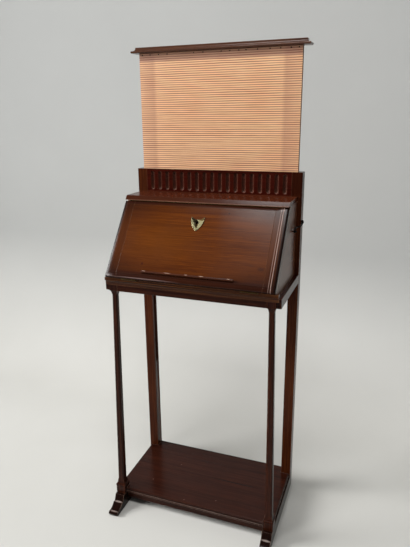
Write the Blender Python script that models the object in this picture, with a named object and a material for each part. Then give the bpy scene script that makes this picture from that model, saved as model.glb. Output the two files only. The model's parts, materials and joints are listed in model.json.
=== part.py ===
"""Writing desk with a rising fire screen.

A sloping box with a fall front stands on two tapered columns, two grooved rear posts and a pair of
runner feet. A silk screen slides up out of the posts, and an iron hook ties the box to a post.
Units are metres, the front faces -Y and +Z is up. Every piece is modelled with Y = 0 on the front
faces of the rear posts, under an empty that puts the middle of the footprint on the world origin.
"""

import math

import bmesh
import bpy
from mathutils import Matrix, Vector

# Clearances
JOINT_GAP = 0.0003
RUNNING_GAP = 0.0004
FALL_TOP_GAP = 0.0006

# Stand
DESK_WIDTH = 0.4736
POST_WIDTH = 0.028
POST_DEPTH = 0.030
RUNNER_HEIGHT = 0.0405
TOE_REACH = 0.284
TOE_BLOCK_REACH = 0.239
TOE_STEP_REACH = 0.2465
TOE_STEP_TREAD = 0.0062
TOE_STEP_HEIGHT = 0.0235
TOE_COVE_SAG = 0.0018
TOE_NOSE_HEIGHT = 0.0125
TOE_NOSE_LENGTH = 0.0075
TOE_NOSE_ROLL = 50
SHELF_THICKNESS = 0.015
SHELF_REACH = 0.2222
SHELF_SETBACK = 0.0035
SHELF_BEAD_RADIUS = 0.0036
SHELF_BEAD_ROLL = 60
SHELF_QUIRK = 0.0022
APRON_SETBACK = 0.008
APRON_THICKNESS = 0.010
APRON_HEIGHT = 0.022
COLUMN_FOOT_REACH = 0.2172
COLUMN_HEAD_REACH = 0.2075
COLUMN_PLINTH_WIDTH = 0.028
COLUMN_PLINTH_HEIGHT = 0.0237
COLUMN_BASE_WIDTH = 0.030
COLUMN_TORUS_RADIUS = 0.0028
COLUMN_TORUS_ROLL = 60
COLUMN_COVE_HEIGHT = 0.0175
COLUMN_FOOT_WIDTH = 0.019
COLUMN_HEAD_WIDTH = 0.0146
COLUMN_CHAMFER = 0.003
COLUMN_BLOCK_WIDTH = 0.024
CAPITAL_HEIGHT = 0.013
SIDE_RAIL_HEIGHT = 0.0245
SIDE_RAIL_THICKNESS = 0.0113
FRONT_RAIL_HEIGHT = 0.017
FRONT_RAIL_THICKNESS = 0.016

# Writing box
BOX_HEIGHT = 0.1972
BOX_TOP_THICKNESS = 0.0113
BOX_SIDE_THICKNESS = 0.012
BOX_FLOOR_THICKNESS = 0.012
BACK_THICKNESS = 0.0085
SIDE_BEAD_WIDTH = 0.0085
SIDE_QUIRK_WIDTH = 0.0012
SIDE_QUIRK_DEPTH = 0.0007
SILL_TOP = 0.7105
SILL_HEIGHT = 0.0212
SILL_REACH = 0.2275
SILL_DEPTH = 0.0123
SILL_OVERHANG = 0.0064
SILL_FASCIA = 0.0085
SILL_FILLET = 0.0012
LOCK_RAIL_DEPTH = 0.024
PIGEONHOLE_DEPTH = 0.105
PIGEONHOLE_HEIGHT = 0.085
PIGEONHOLE_WALL = 0.006

# Fall front
FALL_LEAN = math.radians(37.1)
FALL_THICKNESS = 0.014
FALL_EDGE_THICKNESS = 0.0085
FALL_MOULDING_WIDTH = 0.0115
FALL_QUIRK_DEPTH = 0.0012
FALL_CLAMP_WIDTH = 0.031
LEDGE_LENGTH = 0.244
LEDGE_HEIGHT = 0.0062
LEDGE_THICKNESS = 0.005
LEDGE_RISE = 0.0165

# Lock
LOCK_OFFSET = -0.003
KEYHOLE_DROP = 0.0555
KEYHOLE_RADIUS = 0.0036
KEYHOLE_SLOT_WIDTH = 0.0050
KEYHOLE_SLOT_LENGTH = 0.0145
ESCUTCHEON_WIDTH = 0.036
ESCUTCHEON_HEIGHT = 0.040
ESCUTCHEON_THICKNESS = 0.0012
ESCUTCHEON_FOOT_DROP = 0.0240
ESCUTCHEON_BELLY_SPREAD = 0.001
ESCUTCHEON_BELLY_RISE = 0.016
ESCUTCHEON_DIP = 0.008
ESCUTCHEON_DIP_INSET = 0.0104
ESCUTCHEON_DIP_SAG = 0.0088
LOCK_CASE_WIDTH = 0.052
LOCK_CASE_HEIGHT = 0.074
LOCK_CASE_DEPTH = 0.0085
BOLT_WIDTH = 0.018
BOLT_THICKNESS = 0.0042
BOLT_LENGTH = 0.016
BOLT_SETBACK = 0.0016
BOLT_THROW = 0.004
BOLT_END_ROOM = 0.001

# Fall hinges
HINGE_INSET = 0.0652
HINGE_LENGTH = 0.044
HINGE_MIDDLE_KNUCKLE = 0.017
HINGE_BARREL_RADIUS = 0.0026
HINGE_PIN_RADIUS = 0.0012
HINGE_LEAF_THICKNESS = 0.0014
HINGE_SILL_LEAF_REACH = 0.0105
HINGE_FALL_LEAF_REACH = 0.0165

# Frieze
FRIEZE_HEIGHT = 0.0628
FRIEZE_THICKNESS = 0.009
FLUTE_COUNT = 18
FLUTE_END_MARGIN = 0.0119
FLUTE_WIDTH = 0.0115
FLUTE_DEPTH = 0.0045
FLUTE_MARGIN_TOP = 0.006
FLUTE_MARGIN_BOTTOM = 0.0042

# Rising screen
GROOVE_SETBACK = 0.0095
GROOVE_WIDTH = 0.015
GROOVE_DEPTH = 0.0145
GROOVE_RUN_ON = 0.006
SCREEN_SIDE_GAP = 0.0011
SCREEN_RISE = 0.3052
SCREEN_ENGAGEMENT = 0.085
SILK_THICKNESS = 0.001
STILE_WIDTH = 0.045
SCREEN_TOP_RAIL_HEIGHT = 0.040
SCREEN_BOTTOM_RAIL_HEIGHT = 0.045
CAP_OVERHANG = 0.0067
CAP_DEPTH = 0.037
CAP_HEIGHT = 0.015
CAP_NOSE_RADIUS = 0.003
CAP_FILLET = 0.001
CAP_COVE = 0.006
CAP_TOP_FILLET = 0.0025

# Side hook
HOOK_PIVOT_SETBACK = 0.006
HOOK_PIVOT_DROP = 0.0677
HOOK_WIRE_RADIUS = 0.0020
HOOK_LOOP_RADIUS = 0.0045
HOOK_LOOP_START = 170
HOOK_STANDOFF = 0.0033
HOOK_REACH = 0.055
HOOK_JOG_START = 0.025
HOOK_JOG_END = 0.042
HOOK_TIP_DROP = 0.012
HOOK_SAG = 0.002
HOOK_BEND_RADIUS = 0.004
HOOK_STUD_RADIUS = 0.0017
HOOK_STUD_HEAD_RADIUS = 0.0032
HOOK_STUD_HEAD_THICKNESS = 0.0009
HOOK_ROSETTE_RADIUS = 0.0055
HOOK_ROSETTE_THICKNESS = 0.0006
EYE_WIRE_RADIUS = 0.0011
EYE_RING_RADIUS = 0.0043
EYE_RING_END = 195
EYE_DROP = 0.008

# Softened arrises, steps and sides of round forms, and how far a cutter runs past
ARRIS = 0.0007
ARRIS_STEPS = 2
ARRIS_ANGLE = math.radians(40)
ROUND_ANGLE = math.radians(35)
CURVE_STEPS = 6
PIN_SIDES = 14
STUD_SIDES = 16
FLUTE_SIDES = 20
FLUTE_RINGS = 9
WIRE_BEVEL_STEPS = 2
PAST = 0.02

# Sizes that follow from the ones above
HALF_WIDTH = DESK_WIDTH / 2
POST_INNER = HALF_WIDTH - POST_WIDTH
BETWEEN_POSTS = POST_INNER - JOINT_GAP
BOX_HALF = HALF_WIDTH - SIDE_RAIL_THICKNESS - JOINT_GAP
INSIDE_HALF = BOX_HALF - BOX_SIDE_THICKNESS - JOINT_GAP
BOX_TOP = SILL_TOP + BOX_HEIGHT
POST_TOP = BOX_TOP + FRIEZE_HEIGHT
BOX_BOTTOM = SILL_TOP - SILL_HEIGHT
BLOCK_TOP = BOX_BOTTOM - JOINT_GAP
KNEE_HEIGHT = BLOCK_TOP - FRONT_RAIL_HEIGHT
SHELF_BOTTOM = RUNNER_HEIGHT + JOINT_GAP
SHELF_TOP = SHELF_BOTTOM + SHELF_THICKNESS
SHELF_HALF = HALF_WIDTH - SHELF_SETBACK
RUNNER_MIDDLE = HALF_WIDTH - POST_WIDTH / 2
BLOCK_MIDDLE = BOX_HALF - COLUMN_BLOCK_WIDTH / 2
BLOCK_FRONT = COLUMN_HEAD_REACH + COLUMN_BLOCK_WIDTH / 2
SIDE_RAIL_TOP = KNEE_HEIGHT + SIDE_RAIL_HEIGHT
TOP_UNDERSIDE = BOX_TOP - BOX_TOP_THICKNESS
SILL_BACK = SILL_REACH - SILL_DEPTH
BEHIND_SILL = SILL_BACK - JOINT_GAP
PIGEONHOLE_TOP = SILL_TOP + PIGEONHOLE_HEIGHT

# Two dividers leave three equal pigeonholes
DIVIDER_MIDDLE = INSIDE_HALF / 3 + PIGEONHOLE_WALL / 6

# The fall turns on the sill's front arris; its slope runs back and up from there
SLOPE_Y = math.sin(FALL_LEAN)
SLOPE_Z = math.cos(FALL_LEAN)
FALL_AXIS_Y = -SILL_REACH - JOINT_GAP
FALL_AXIS_Z = SILL_TOP + JOINT_GAP
FALL_TOP_LINE = (TOP_UNDERSIDE - FALL_AXIS_Z - SLOPE_Y * FALL_THICKNESS) / SLOPE_Z
FALL_LENGTH = FALL_TOP_LINE - FALL_TOP_GAP
KEYHOLE_RISE = FALL_LENGTH - KEYHOLE_DROP
CLAMP_LINE = BOX_HALF - FALL_CLAMP_WIDTH

SCREEN_HALF = POST_INNER + GROOVE_DEPTH - SCREEN_SIDE_GAP
SCREEN_HEIGHT = SCREEN_RISE + SCREEN_ENGAGEMENT
SCREEN_BOTTOM = POST_TOP - SCREEN_ENGAGEMENT
SCREEN_TRAVEL = SCREEN_RISE - JOINT_GAP
SCREEN_MIDDLE = GROOVE_SETBACK + GROOVE_WIDTH / 2
SCREEN_FACE = GROOVE_WIDTH / 2 - RUNNING_GAP
FRAME_FACE = SCREEN_FACE - SILK_THICKNESS - JOINT_GAP
GROOVE_FOOT = SCREEN_BOTTOM - SCREEN_TRAVEL - GROOVE_RUN_ON
CAP_BACK = SCREEN_MIDDLE + CAP_DEPTH / 2
POST_FRONT_Y = (TOE_REACH - max(CAP_BACK, POST_DEPTH)) / 2

# The row of flutes fills the frieze between its end margins
FLUTE_ROW = 2 * (BETWEEN_POSTS - FLUTE_END_MARGIN) - FLUTE_WIDTH
FLUTE_PITCH = FLUTE_ROW / (FLUTE_COUNT - 1)

HOOK_LINE = HALF_WIDTH + HOOK_STANDOFF
HOOK_PIVOT_HEIGHT = BOX_TOP - HOOK_PIVOT_DROP
EYE_LINE = BOX_HALF + JOINT_GAP + EYE_RING_RADIUS + EYE_WIRE_RADIUS
HOOK_DROP = HOOK_LOOP_RADIUS + HOOK_SAG

# Colour (sRGB hex), roughness and metallic value of each finish
FINISHES = {
    "polished_mahogany_fall": ("6e4020", 0.32, 0.0),
    "dark_mahogany_frame": ("3d1c13", 0.34, 0.0),
    "red_mahogany_frieze": ("5a2818", 0.36, 0.0),
    "worn_mahogany_shelf": ("4a3028", 0.42, 0.0),
    "plain_interior_wood": ("6b4a2c", 0.60, 0.0),
    "peach_silk": ("dcaa7a", 0.70, 0.0),
    "pale_brass": ("a89a68", 0.38, 1.0),
    "dark_brass": ("5c4a2c", 0.45, 1.0),
    "black_iron": ("17130f", 0.55, 1.0),
}


# Finishes

def linear(value):
    """One sRGB channel, 0 to 1, as linear light."""
    if value <= 0.04045:
        return value / 12.92
    return ((value + 0.055) / 1.055) ** 2.4


def material(name):
    """The named finish, made the first time it is asked for."""
    found = bpy.data.materials.get(name)
    if found:
        return found
    hex_code, roughness, metallic = FINISHES[name]
    colour = [linear(int(hex_code[i:i + 2], 16) / 255) for i in (0, 2, 4)]
    made = bpy.data.materials.new(name)
    made.use_nodes = True
    shader = made.node_tree.nodes["Principled BSDF"]
    shader.inputs["Base Color"].default_value = (*colour, 1.0)
    shader.inputs["Roughness"].default_value = roughness
    shader.inputs["Metallic"].default_value = metallic
    return made


# Shapes

def block(low, high):
    """A cuboid between two corners."""
    shape = bmesh.new()
    size = Vector(high) - Vector(low)
    middle = (Vector(high) + Vector(low)) / 2
    placed = Matrix.Translation(middle) @ Matrix.Diagonal((*size, 1.0))
    bmesh.ops.create_cube(shape, size=1.0, matrix=placed)
    return shape


def prism(outline, low, high, axis="X"):
    """An outline in (Y, Z), or in (X, Y), carried from low to high along X, or along Z."""
    shape = bmesh.new()
    if axis == "X":
        start = [(low, a, b) for a, b in outline]
        step = (high - low, 0, 0)
    else:
        start = [(a, b, low) for a, b in outline]
        step = (0, 0, high - low)
    face = shape.faces.new([shape.verts.new(point) for point in start])
    grown = bmesh.ops.extrude_face_region(shape, geom=[face], use_keep_orig=True)
    moved = [item for item in grown["geom"] if isinstance(item, bmesh.types.BMVert)]
    bmesh.ops.translate(shape, verts=moved, vec=step)
    return shape


def loft(sections):
    """A skin over sections that all have the same number of points, closed at both ends."""
    shape = bmesh.new()
    rings = [[shape.verts.new(point) for point in section] for section in sections]
    count = len(rings[0])
    for lower, upper in zip(rings, rings[1:]):
        for i in range(count):
            j = (i + 1) % count
            shape.faces.new((lower[i], lower[j], upper[j], upper[i]))
    shape.faces.new(list(reversed(rings[0])))
    shape.faces.new(rings[-1])
    return shape


def moulded_board(half_x, low_y, high_y, profile):
    """A board whose edge profile, a list of (inset, height), runs mitred round all four sides."""
    sections = []
    for inset, height in profile:
        left, right = -half_x + inset, half_x - inset
        near, far = low_y + inset, high_y - inset
        corners = [(left, near), (right, near), (right, far), (left, far)]
        sections.append([(x, y, height) for x, y in corners])
    return loft(sections)


def arc(middle, radii, start, end, steps=CURVE_STEPS):
    """Points of an ellipse between two angles in degrees, both ends included."""
    angles = [math.radians(start + (end - start) * i / steps) for i in range(steps + 1)]
    return [(middle[0] + radii[0] * math.cos(a), middle[1] + radii[1] * math.sin(a)) for a in angles]


def curve_through(start, control, end, steps=CURVE_STEPS):
    """A quadratic curve from start to end, pulled towards control, without its last point."""
    points = []
    for i in range(steps):
        t = i / steps
        weights = ((1 - t) ** 2, 2 * t * (1 - t), t ** 2)
        corners = (start, control, end)
        points.append(tuple(sum(w * p[k] for w, p in zip(weights, corners)) for k in (0, 1)))
    return points


def rod(start, end, radius):
    """A round bar between two points."""
    shape = bmesh.new()
    line = Vector(end) - Vector(start)
    turn = Vector((0, 0, 1)).rotation_difference(line).to_matrix().to_4x4()
    placed = Matrix.Translation((Vector(start) + Vector(end)) / 2) @ turn
    bmesh.ops.create_cone(
        shape, cap_ends=True, segments=PIN_SIDES, radius1=radius, radius2=radius,
        depth=line.length, matrix=placed,
    )
    return shape


def joined(shapes):
    """Several separate shapes as one mesh."""
    whole = bmesh.new()
    for shape in shapes:
        spare = bpy.data.meshes.new("spare")
        shape.to_mesh(spare)
        shape.free()
        whole.from_mesh(spare)
        bpy.data.meshes.remove(spare)
    return whole


def sliced(shape, line, sign):
    """The part of a shape on one side of the plane X = line, with the cut closed."""
    everything = shape.verts[:] + shape.edges[:] + shape.faces[:]
    cut = bmesh.ops.bisect_plane(
        shape, geom=everything, plane_co=(line, 0, 0), plane_no=(-sign, 0, 0), clear_outer=True,
    )
    edges = [item for item in cut["geom_cut"] if isinstance(item, bmesh.types.BMEdge)]
    bmesh.ops.edgenet_fill(shape, edges=edges)
    return shape


# Objects

def add(name, shape, finish, parent, arris=0.0):
    """Turn a shape into a named object, smooth where it is round, with its arrises softened."""
    bmesh.ops.recalc_face_normals(shape, faces=shape.faces)
    mesh = bpy.data.meshes.new(name)
    shape.to_mesh(mesh)
    shape.free()
    mesh.shade_smooth()
    mesh.set_sharp_from_angle(angle=ROUND_ANGLE)
    piece = bpy.data.objects.new(name, mesh)
    bpy.context.scene.collection.objects.link(piece)
    piece.parent = parent
    mesh.materials.append(material(finish))
    if arris:
        soften = piece.modifiers.new("arris", "BEVEL")
        soften.width = arris
        soften.segments = ARRIS_STEPS
        soften.limit_method = "ANGLE"
        soften.angle_limit = ARRIS_ANGLE
    return piece


def cutter(name, shape, parent):
    """A shape that only cuts others, or is only joined to them."""
    tool = add(name, shape, "plain_interior_wood", parent)
    tool.hide_render = True
    tool.display_type = "WIRE"
    return tool


def combine(piece, tool, operation="DIFFERENCE"):
    change = piece.modifiers.new(tool.name, "BOOLEAN")
    change.operation = operation
    change.solver = "EXACT"
    change.object = tool


def wire(name, points, radius, parent):
    """A bent round iron wire through points, with closed ends."""
    curve = bpy.data.curves.new(name, "CURVE")
    curve.dimensions = "3D"
    curve.bevel_depth = radius
    curve.bevel_resolution = WIRE_BEVEL_STEPS
    curve.use_fill_caps = True
    spline = curve.splines.new("POLY")
    spline.points.add(len(points) - 1)
    for target, point in zip(spline.points, points):
        target.co = (*point, 1.0)
    curve.materials.append(material("black_iron"))
    piece = bpy.data.objects.new(name, curve)
    bpy.context.scene.collection.objects.link(piece)
    piece.parent = parent
    return piece


def axis_empty(name, parent, place, turn=0.0):
    """An empty on a joint's axis, turned about X."""
    marker = bpy.data.objects.new(name, None)
    bpy.context.scene.collection.objects.link(marker)
    marker.parent = parent
    marker.location = place
    marker.rotation_euler = (turn, 0, 0)
    return marker


def sides():
    return (("left", -1), ("right", 1))


def span(sign, inner, outer):
    """The X range of a piece on one side, low end first."""
    return sorted((sign * inner, sign * outer))


def slope_point(along, out):
    """A point of the closed fall in (Y, Z), from its distance up the slope and out of its inner face."""
    return (FALL_AXIS_Y + SLOPE_Y * along - SLOPE_Z * out, FALL_AXIS_Z + SLOPE_Z * along + SLOPE_Y * out)


def slope_at(height, out):
    """Y of a plane parallel to the closed fall, at a height."""
    along = (height - FALL_AXIS_Z - SLOPE_Y * out) / SLOPE_Z
    return slope_point(along, out)[0]


# Stand

def build_runners(desk):
    """Each runner is level under the shelf, then steps and coves down to a rounded toe."""
    nose_middle = (-TOE_REACH + TOE_NOSE_LENGTH, TOE_NOSE_HEIGHT / 2)
    nose_radii = (TOE_NOSE_LENGTH, TOE_NOSE_HEIGHT / 2)
    nose = arc(nose_middle, nose_radii, TOE_NOSE_ROLL, 270, 2 * CURVE_STEPS)
    tread = (-TOE_STEP_REACH - TOE_STEP_TREAD, TOE_STEP_HEIGHT)
    hollow = ((tread[0] + nose[0][0]) / 2, (tread[1] + nose[0][1]) / 2 - 2 * TOE_COVE_SAG)
    outline = [
        (POST_DEPTH, 0),
        (POST_DEPTH, RUNNER_HEIGHT),
        (-TOE_BLOCK_REACH, RUNNER_HEIGHT),
        (-TOE_STEP_REACH, TOE_STEP_HEIGHT),
    ]
    outline += curve_through(tread, hollow, nose[0])
    outline += nose
    for side, sign in sides():
        low, high = span(sign, POST_INNER, HALF_WIDTH)
        add(f"{side}_runner_foot", prism(outline, low, high), "dark_mahogany_frame", desk, ARRIS)


def build_shelf(desk):
    """A beaded shelf on the runners, notched round the posts and the columns, with an apron below."""
    bead_middle = SHELF_TOP - SHELF_BEAD_RADIUS
    fascia_top = SHELF_TOP - 2 * SHELF_BEAD_RADIUS - SHELF_QUIRK
    profile = [(0, SHELF_BOTTOM), (0, fascia_top), (SHELF_QUIRK, fascia_top)]
    bead_radii = (-SHELF_BEAD_RADIUS, SHELF_BEAD_RADIUS)
    profile += arc((SHELF_BEAD_RADIUS, bead_middle), bead_radii, -SHELF_BEAD_ROLL, 90)
    board = moulded_board(SHELF_HALF, -SHELF_REACH, POST_DEPTH, profile)
    shelf = add("bottom_shelf", board, "worn_mahogany_shelf", desk)
    low, high = SHELF_BOTTOM - PAST, SHELF_TOP + PAST
    plinth = COLUMN_PLINTH_WIDTH / 2 + JOINT_GAP
    notches = []
    for side, sign in sides():
        left, right = span(sign, BETWEEN_POSTS, HALF_WIDTH + PAST)
        notches.append(block((left, -JOINT_GAP, low), (right, POST_DEPTH + PAST, high)))
        left, right = span(sign, RUNNER_MIDDLE - plinth, HALF_WIDTH + PAST)
        front, back = -SHELF_REACH - PAST, -COLUMN_FOOT_REACH + plinth
        notches.append(block((left, front, low), (right, back, high)))
    combine(shelf, cutter("shelf_notches", joined(notches), desk))

    front = -SHELF_REACH + APRON_SETBACK
    low = (-BETWEEN_POSTS, front, RUNNER_HEIGHT - APRON_HEIGHT)
    high = (BETWEEN_POSTS, front + APRON_THICKNESS, RUNNER_HEIGHT)
    add("shelf_apron", block(low, high), "dark_mahogany_frame", desk, ARRIS)


def column_profile():
    """Heights and widths up a column: plinth, torus, cove, tapered shaft, capital and top block."""
    plinth_bottom = RUNNER_HEIGHT + JOINT_GAP
    plinth_top = plinth_bottom + COLUMN_PLINTH_HEIGHT
    torus_top = plinth_top + 2 * COLUMN_TORUS_RADIUS
    cove_width = COLUMN_BASE_WIDTH - COLUMN_TORUS_RADIUS
    shaft_bottom = torus_top + COLUMN_COVE_HEIGHT
    shaft_top = KNEE_HEIGHT - CAPITAL_HEIGHT
    profile = [(plinth_bottom, COLUMN_PLINTH_WIDTH), (plinth_top, COLUMN_PLINTH_WIDTH)]
    torus_middle = (COLUMN_BASE_WIDTH - 2 * COLUMN_TORUS_RADIUS, plinth_top + COLUMN_TORUS_RADIUS)
    torus_radii = (2 * COLUMN_TORUS_RADIUS, COLUMN_TORUS_RADIUS)
    torus = arc(torus_middle, torus_radii, -COLUMN_TORUS_ROLL, COLUMN_TORUS_ROLL)
    profile += [(z, w) for w, z in torus]
    cove_radii = (cove_width - COLUMN_FOOT_WIDTH, shaft_bottom - torus_top)
    profile += [(z, w) for w, z in arc((cove_width, shaft_bottom), cove_radii, 270, 180)]
    cap_radii = (COLUMN_BLOCK_WIDTH - COLUMN_HEAD_WIDTH, CAPITAL_HEIGHT)
    profile += [(z, w) for w, z in arc((COLUMN_BLOCK_WIDTH, shaft_top), cap_radii, 180, 90)]
    profile.append((BLOCK_TOP, COLUMN_BLOCK_WIDTH))
    return profile, shaft_bottom, shaft_top


def column_section(x, y, z, width, chamfer):
    """A square with its corners taken off."""
    far = width / 2
    near = far - chamfer
    corners = [(near, far), (-near, far), (-far, near), (-far, -near)]
    corners += [(-a, -b) for a, b in corners]
    return [(x + a, y + b, z) for a, b in corners]


def build_columns(desk):
    """Slender chamfered columns that splay a little from the box to the runners."""
    profile, shaft_bottom, shaft_top = column_profile()
    for side, sign in sides():
        sections = []
        for z, width in profile:
            rise = min(max((z - shaft_bottom) / (shaft_top - shaft_bottom), 0), 1)
            x = sign * (RUNNER_MIDDLE + (BLOCK_MIDDLE - RUNNER_MIDDLE) * rise)
            y = -(COLUMN_FOOT_REACH + (COLUMN_HEAD_REACH - COLUMN_FOOT_REACH) * rise)
            on_shaft = shaft_bottom <= z <= shaft_top + JOINT_GAP
            sections.append(column_section(x, y, z, width, COLUMN_CHAMFER if on_shaft else ARRIS))
        add(f"{side}_front_column", loft(sections), "dark_mahogany_frame", desk)


def build_posts(desk):
    """Square rear posts, grooved on their inner faces for the screen."""
    for side, sign in sides():
        left, right = span(sign, POST_INNER, HALF_WIDTH)
        shape = block((left, 0, RUNNER_HEIGHT + JOINT_GAP), (right, POST_DEPTH, POST_TOP))
        post = add(f"{side}_rear_post", shape, "dark_mahogany_frame", desk, ARRIS)
        left, right = span(sign, POST_INNER - PAST, POST_INNER + GROOVE_DEPTH)
        low = (left, GROOVE_SETBACK, GROOVE_FOOT)
        high = (right, GROOVE_SETBACK + GROOVE_WIDTH, POST_TOP + PAST)
        combine(post, cutter(f"{side}_groove", block(low, high), desk))


def build_rails(desk):
    """Rails that tie columns and posts under the box."""
    for side, sign in sides():
        left, right = span(sign, BOX_HALF + JOINT_GAP, HALF_WIDTH)
        shape = block((left, -BEHIND_SILL, KNEE_HEIGHT), (right, -JOINT_GAP, SIDE_RAIL_TOP))
        add(f"{side}_side_rail", shape, "dark_mahogany_frame", desk, ARRIS)
    reach = BOX_HALF - COLUMN_BLOCK_WIDTH - JOINT_GAP
    low = (-reach, -BLOCK_FRONT, KNEE_HEIGHT)
    high = (reach, -BLOCK_FRONT + FRONT_RAIL_THICKNESS, BLOCK_TOP)
    add("front_rail", block(low, high), "dark_mahogany_frame", desk, ARRIS)
    low = (-BETWEEN_POSTS, 0, KNEE_HEIGHT)
    high = (BETWEEN_POSTS, BACK_THICKNESS, SIDE_RAIL_TOP - JOINT_GAP)
    add("rear_rail", block(low, high), "dark_mahogany_frame", desk, ARRIS)


# Writing box

def build_sill(desk):
    """The moulded front edge of the box: a fascia over a cove, let in for the hinges."""
    fascia_foot = SILL_TOP - SILL_FASCIA
    cove_front = -SILL_REACH + SILL_FILLET
    cove_radii = (SILL_REACH - SILL_FILLET - BLOCK_FRONT, fascia_foot - BOX_BOTTOM)
    outline = [
        (-SILL_BACK, BOX_BOTTOM),
        (-SILL_BACK, SILL_TOP),
        (-SILL_REACH, SILL_TOP),
        (-SILL_REACH, fascia_foot),
    ]
    outline += arc((cove_front, BOX_BOTTOM), cove_radii, 90, 0)
    half = BOX_HALF + SILL_OVERHANG
    sill = add("front_sill", prism(outline, -half, half), "polished_mahogany_fall", desk)
    return sill


def build_box(desk):
    """Floor, sloping sides, bevelled top, back and the rail that takes the lock's bolt."""
    low = (-INSIDE_HALF, -BEHIND_SILL, SILL_TOP - BOX_FLOOR_THICKNESS)
    high = (INSIDE_HALF, -JOINT_GAP, SILL_TOP)
    add("box_floor", block(low, high), "plain_interior_wood", desk)

    side_top = TOP_UNDERSIDE - JOINT_GAP
    outline = [
        (-JOINT_GAP, BOX_BOTTOM),
        (-BEHIND_SILL, BOX_BOTTOM),
        (-BEHIND_SILL, FALL_AXIS_Z),
        (slope_at(FALL_AXIS_Z, -JOINT_GAP), FALL_AXIS_Z),
        (slope_at(side_top, -JOINT_GAP), side_top),
        (-JOINT_GAP, side_top),
    ]
    inner_edge = -SIDE_BEAD_WIDTH
    outer_edge = inner_edge - SIDE_QUIRK_WIDTH
    quirk = [
        slope_point(-PAST, inner_edge),
        slope_point(FALL_LENGTH + PAST, inner_edge),
        slope_point(FALL_LENGTH + PAST, outer_edge),
        slope_point(-PAST, outer_edge),
    ]
    for side, sign in sides():
        low, high = span(sign, BOX_HALF - BOX_SIDE_THICKNESS, BOX_HALF)
        panel = add(f"{side}_box_side", prism(outline, low, high), "polished_mahogany_fall", desk)
        low, high = span(sign, BOX_HALF - SIDE_QUIRK_DEPTH, BOX_HALF + PAST)
        combine(panel, cutter(f"{side}_side_quirk", prism(quirk, low, high), desk))

    outline = [
        (-JOINT_GAP, TOP_UNDERSIDE),
        (-JOINT_GAP, BOX_TOP),
        (slope_at(BOX_TOP, FALL_THICKNESS), BOX_TOP),
        (slope_at(TOP_UNDERSIDE, FALL_THICKNESS), TOP_UNDERSIDE),
    ]
    add("box_top", prism(outline, -BOX_HALF, BOX_HALF), "polished_mahogany_fall", desk, ARRIS)

    low = (-BETWEEN_POSTS, 0, SIDE_RAIL_TOP)
    high = (BETWEEN_POSTS, BACK_THICKNESS, BOX_TOP)
    add("box_back", block(low, high), "dark_mahogany_frame", desk)

    face = slope_point(FALL_TOP_LINE, 0)
    tip = slope_point(FALL_TOP_LINE, FALL_THICKNESS - JOINT_GAP / SLOPE_Y)
    back = face[0] + LOCK_RAIL_DEPTH
    outline = [tip, face, (back, face[1]), (back, tip[1])]
    rail = add("lock_rail", prism(outline, -INSIDE_HALF, INSIDE_HALF), "plain_interior_wood", desk)
    return rail


def build_pigeonholes(desk):
    """A low nest of three pigeonholes under a letter shelf."""
    low = (-INSIDE_HALF, -PIGEONHOLE_DEPTH, PIGEONHOLE_TOP)
    high = (INSIDE_HALF, -JOINT_GAP, PIGEONHOLE_TOP + PIGEONHOLE_WALL)
    add("letter_shelf", block(low, high), "plain_interior_wood", desk, ARRIS)
    for side, sign in sides():
        middle = sign * DIVIDER_MIDDLE
        low = (middle - PIGEONHOLE_WALL / 2, -PIGEONHOLE_DEPTH, SILL_TOP + JOINT_GAP)
        high = (middle + PIGEONHOLE_WALL / 2, -JOINT_GAP, PIGEONHOLE_TOP - JOINT_GAP)
        add(f"{side}_pigeonhole_divider", block(low, high), "plain_interior_wood", desk, ARRIS)


def build_frieze(desk):
    """The front board above the box, worked with a row of round-ended flutes."""
    bottom = BOX_TOP + JOINT_GAP
    frieze = add(
        "fluted_frieze",
        block((-BETWEEN_POSTS, 0, bottom), (BETWEEN_POSTS, FRIEZE_THICKNESS, POST_TOP)),
        "red_mahogany_frieze",
        desk,
    )
    radius = (FLUTE_WIDTH ** 2 / 4 + FLUTE_DEPTH ** 2) / (2 * FLUTE_DEPTH)
    first = bottom + FLUTE_MARGIN_BOTTOM + FLUTE_WIDTH / 2
    last = POST_TOP - FLUTE_MARGIN_TOP - FLUTE_WIDTH / 2
    tools = []
    for i in range(FLUTE_COUNT):
        place = Matrix.Translation(((i - (FLUTE_COUNT - 1) / 2) * FLUTE_PITCH, FLUTE_DEPTH - radius, 0))
        tool = bmesh.new()
        bmesh.ops.create_uvsphere(
            tool, u_segments=FLUTE_SIDES, v_segments=FLUTE_RINGS, radius=radius, matrix=place,
        )
        for corner in tool.verts:
            corner.co.z += last if corner.co.z > 0 else first
        tools.append(tool)
    combine(frieze, cutter("flutes", joined(tools), desk))


# Fall front

def build_fall(axis):
    """A clamped board with a quirked thumbnail moulding, mitred round its edge."""
    crown = FALL_THICKNESS - FALL_QUIRK_DEPTH
    round_over = (-FALL_MOULDING_WIDTH, crown - FALL_EDGE_THICKNESS)
    profile = [(0, 0)]
    profile += arc((FALL_MOULDING_WIDTH, FALL_EDGE_THICKNESS), round_over, 0, 90)
    profile.append((FALL_MOULDING_WIDTH, FALL_THICKNESS))

    def blank():
        return moulded_board(BOX_HALF, 0, FALL_LENGTH, profile)

    panel_half = CLAMP_LINE - JOINT_GAP
    panel_shape = sliced(sliced(blank(), panel_half, -1), -panel_half, 1)
    panel = add("fall_panel", panel_shape, "polished_mahogany_fall", axis)
    for side, sign in sides():
        shape = sliced(blank(), sign * CLAMP_LINE, sign)
        add(f"{side}_fall_clamp", shape, "polished_mahogany_fall", axis)

    low = (-LEDGE_LENGTH / 2, LEDGE_RISE, FALL_THICKNESS + JOINT_GAP)
    high = (LEDGE_LENGTH / 2, LEDGE_RISE + LEDGE_THICKNESS, FALL_THICKNESS + JOINT_GAP + LEDGE_HEIGHT)
    add("book_ledge", block(low, high), "polished_mahogany_fall", axis, 2 * ARRIS)
    return panel


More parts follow.
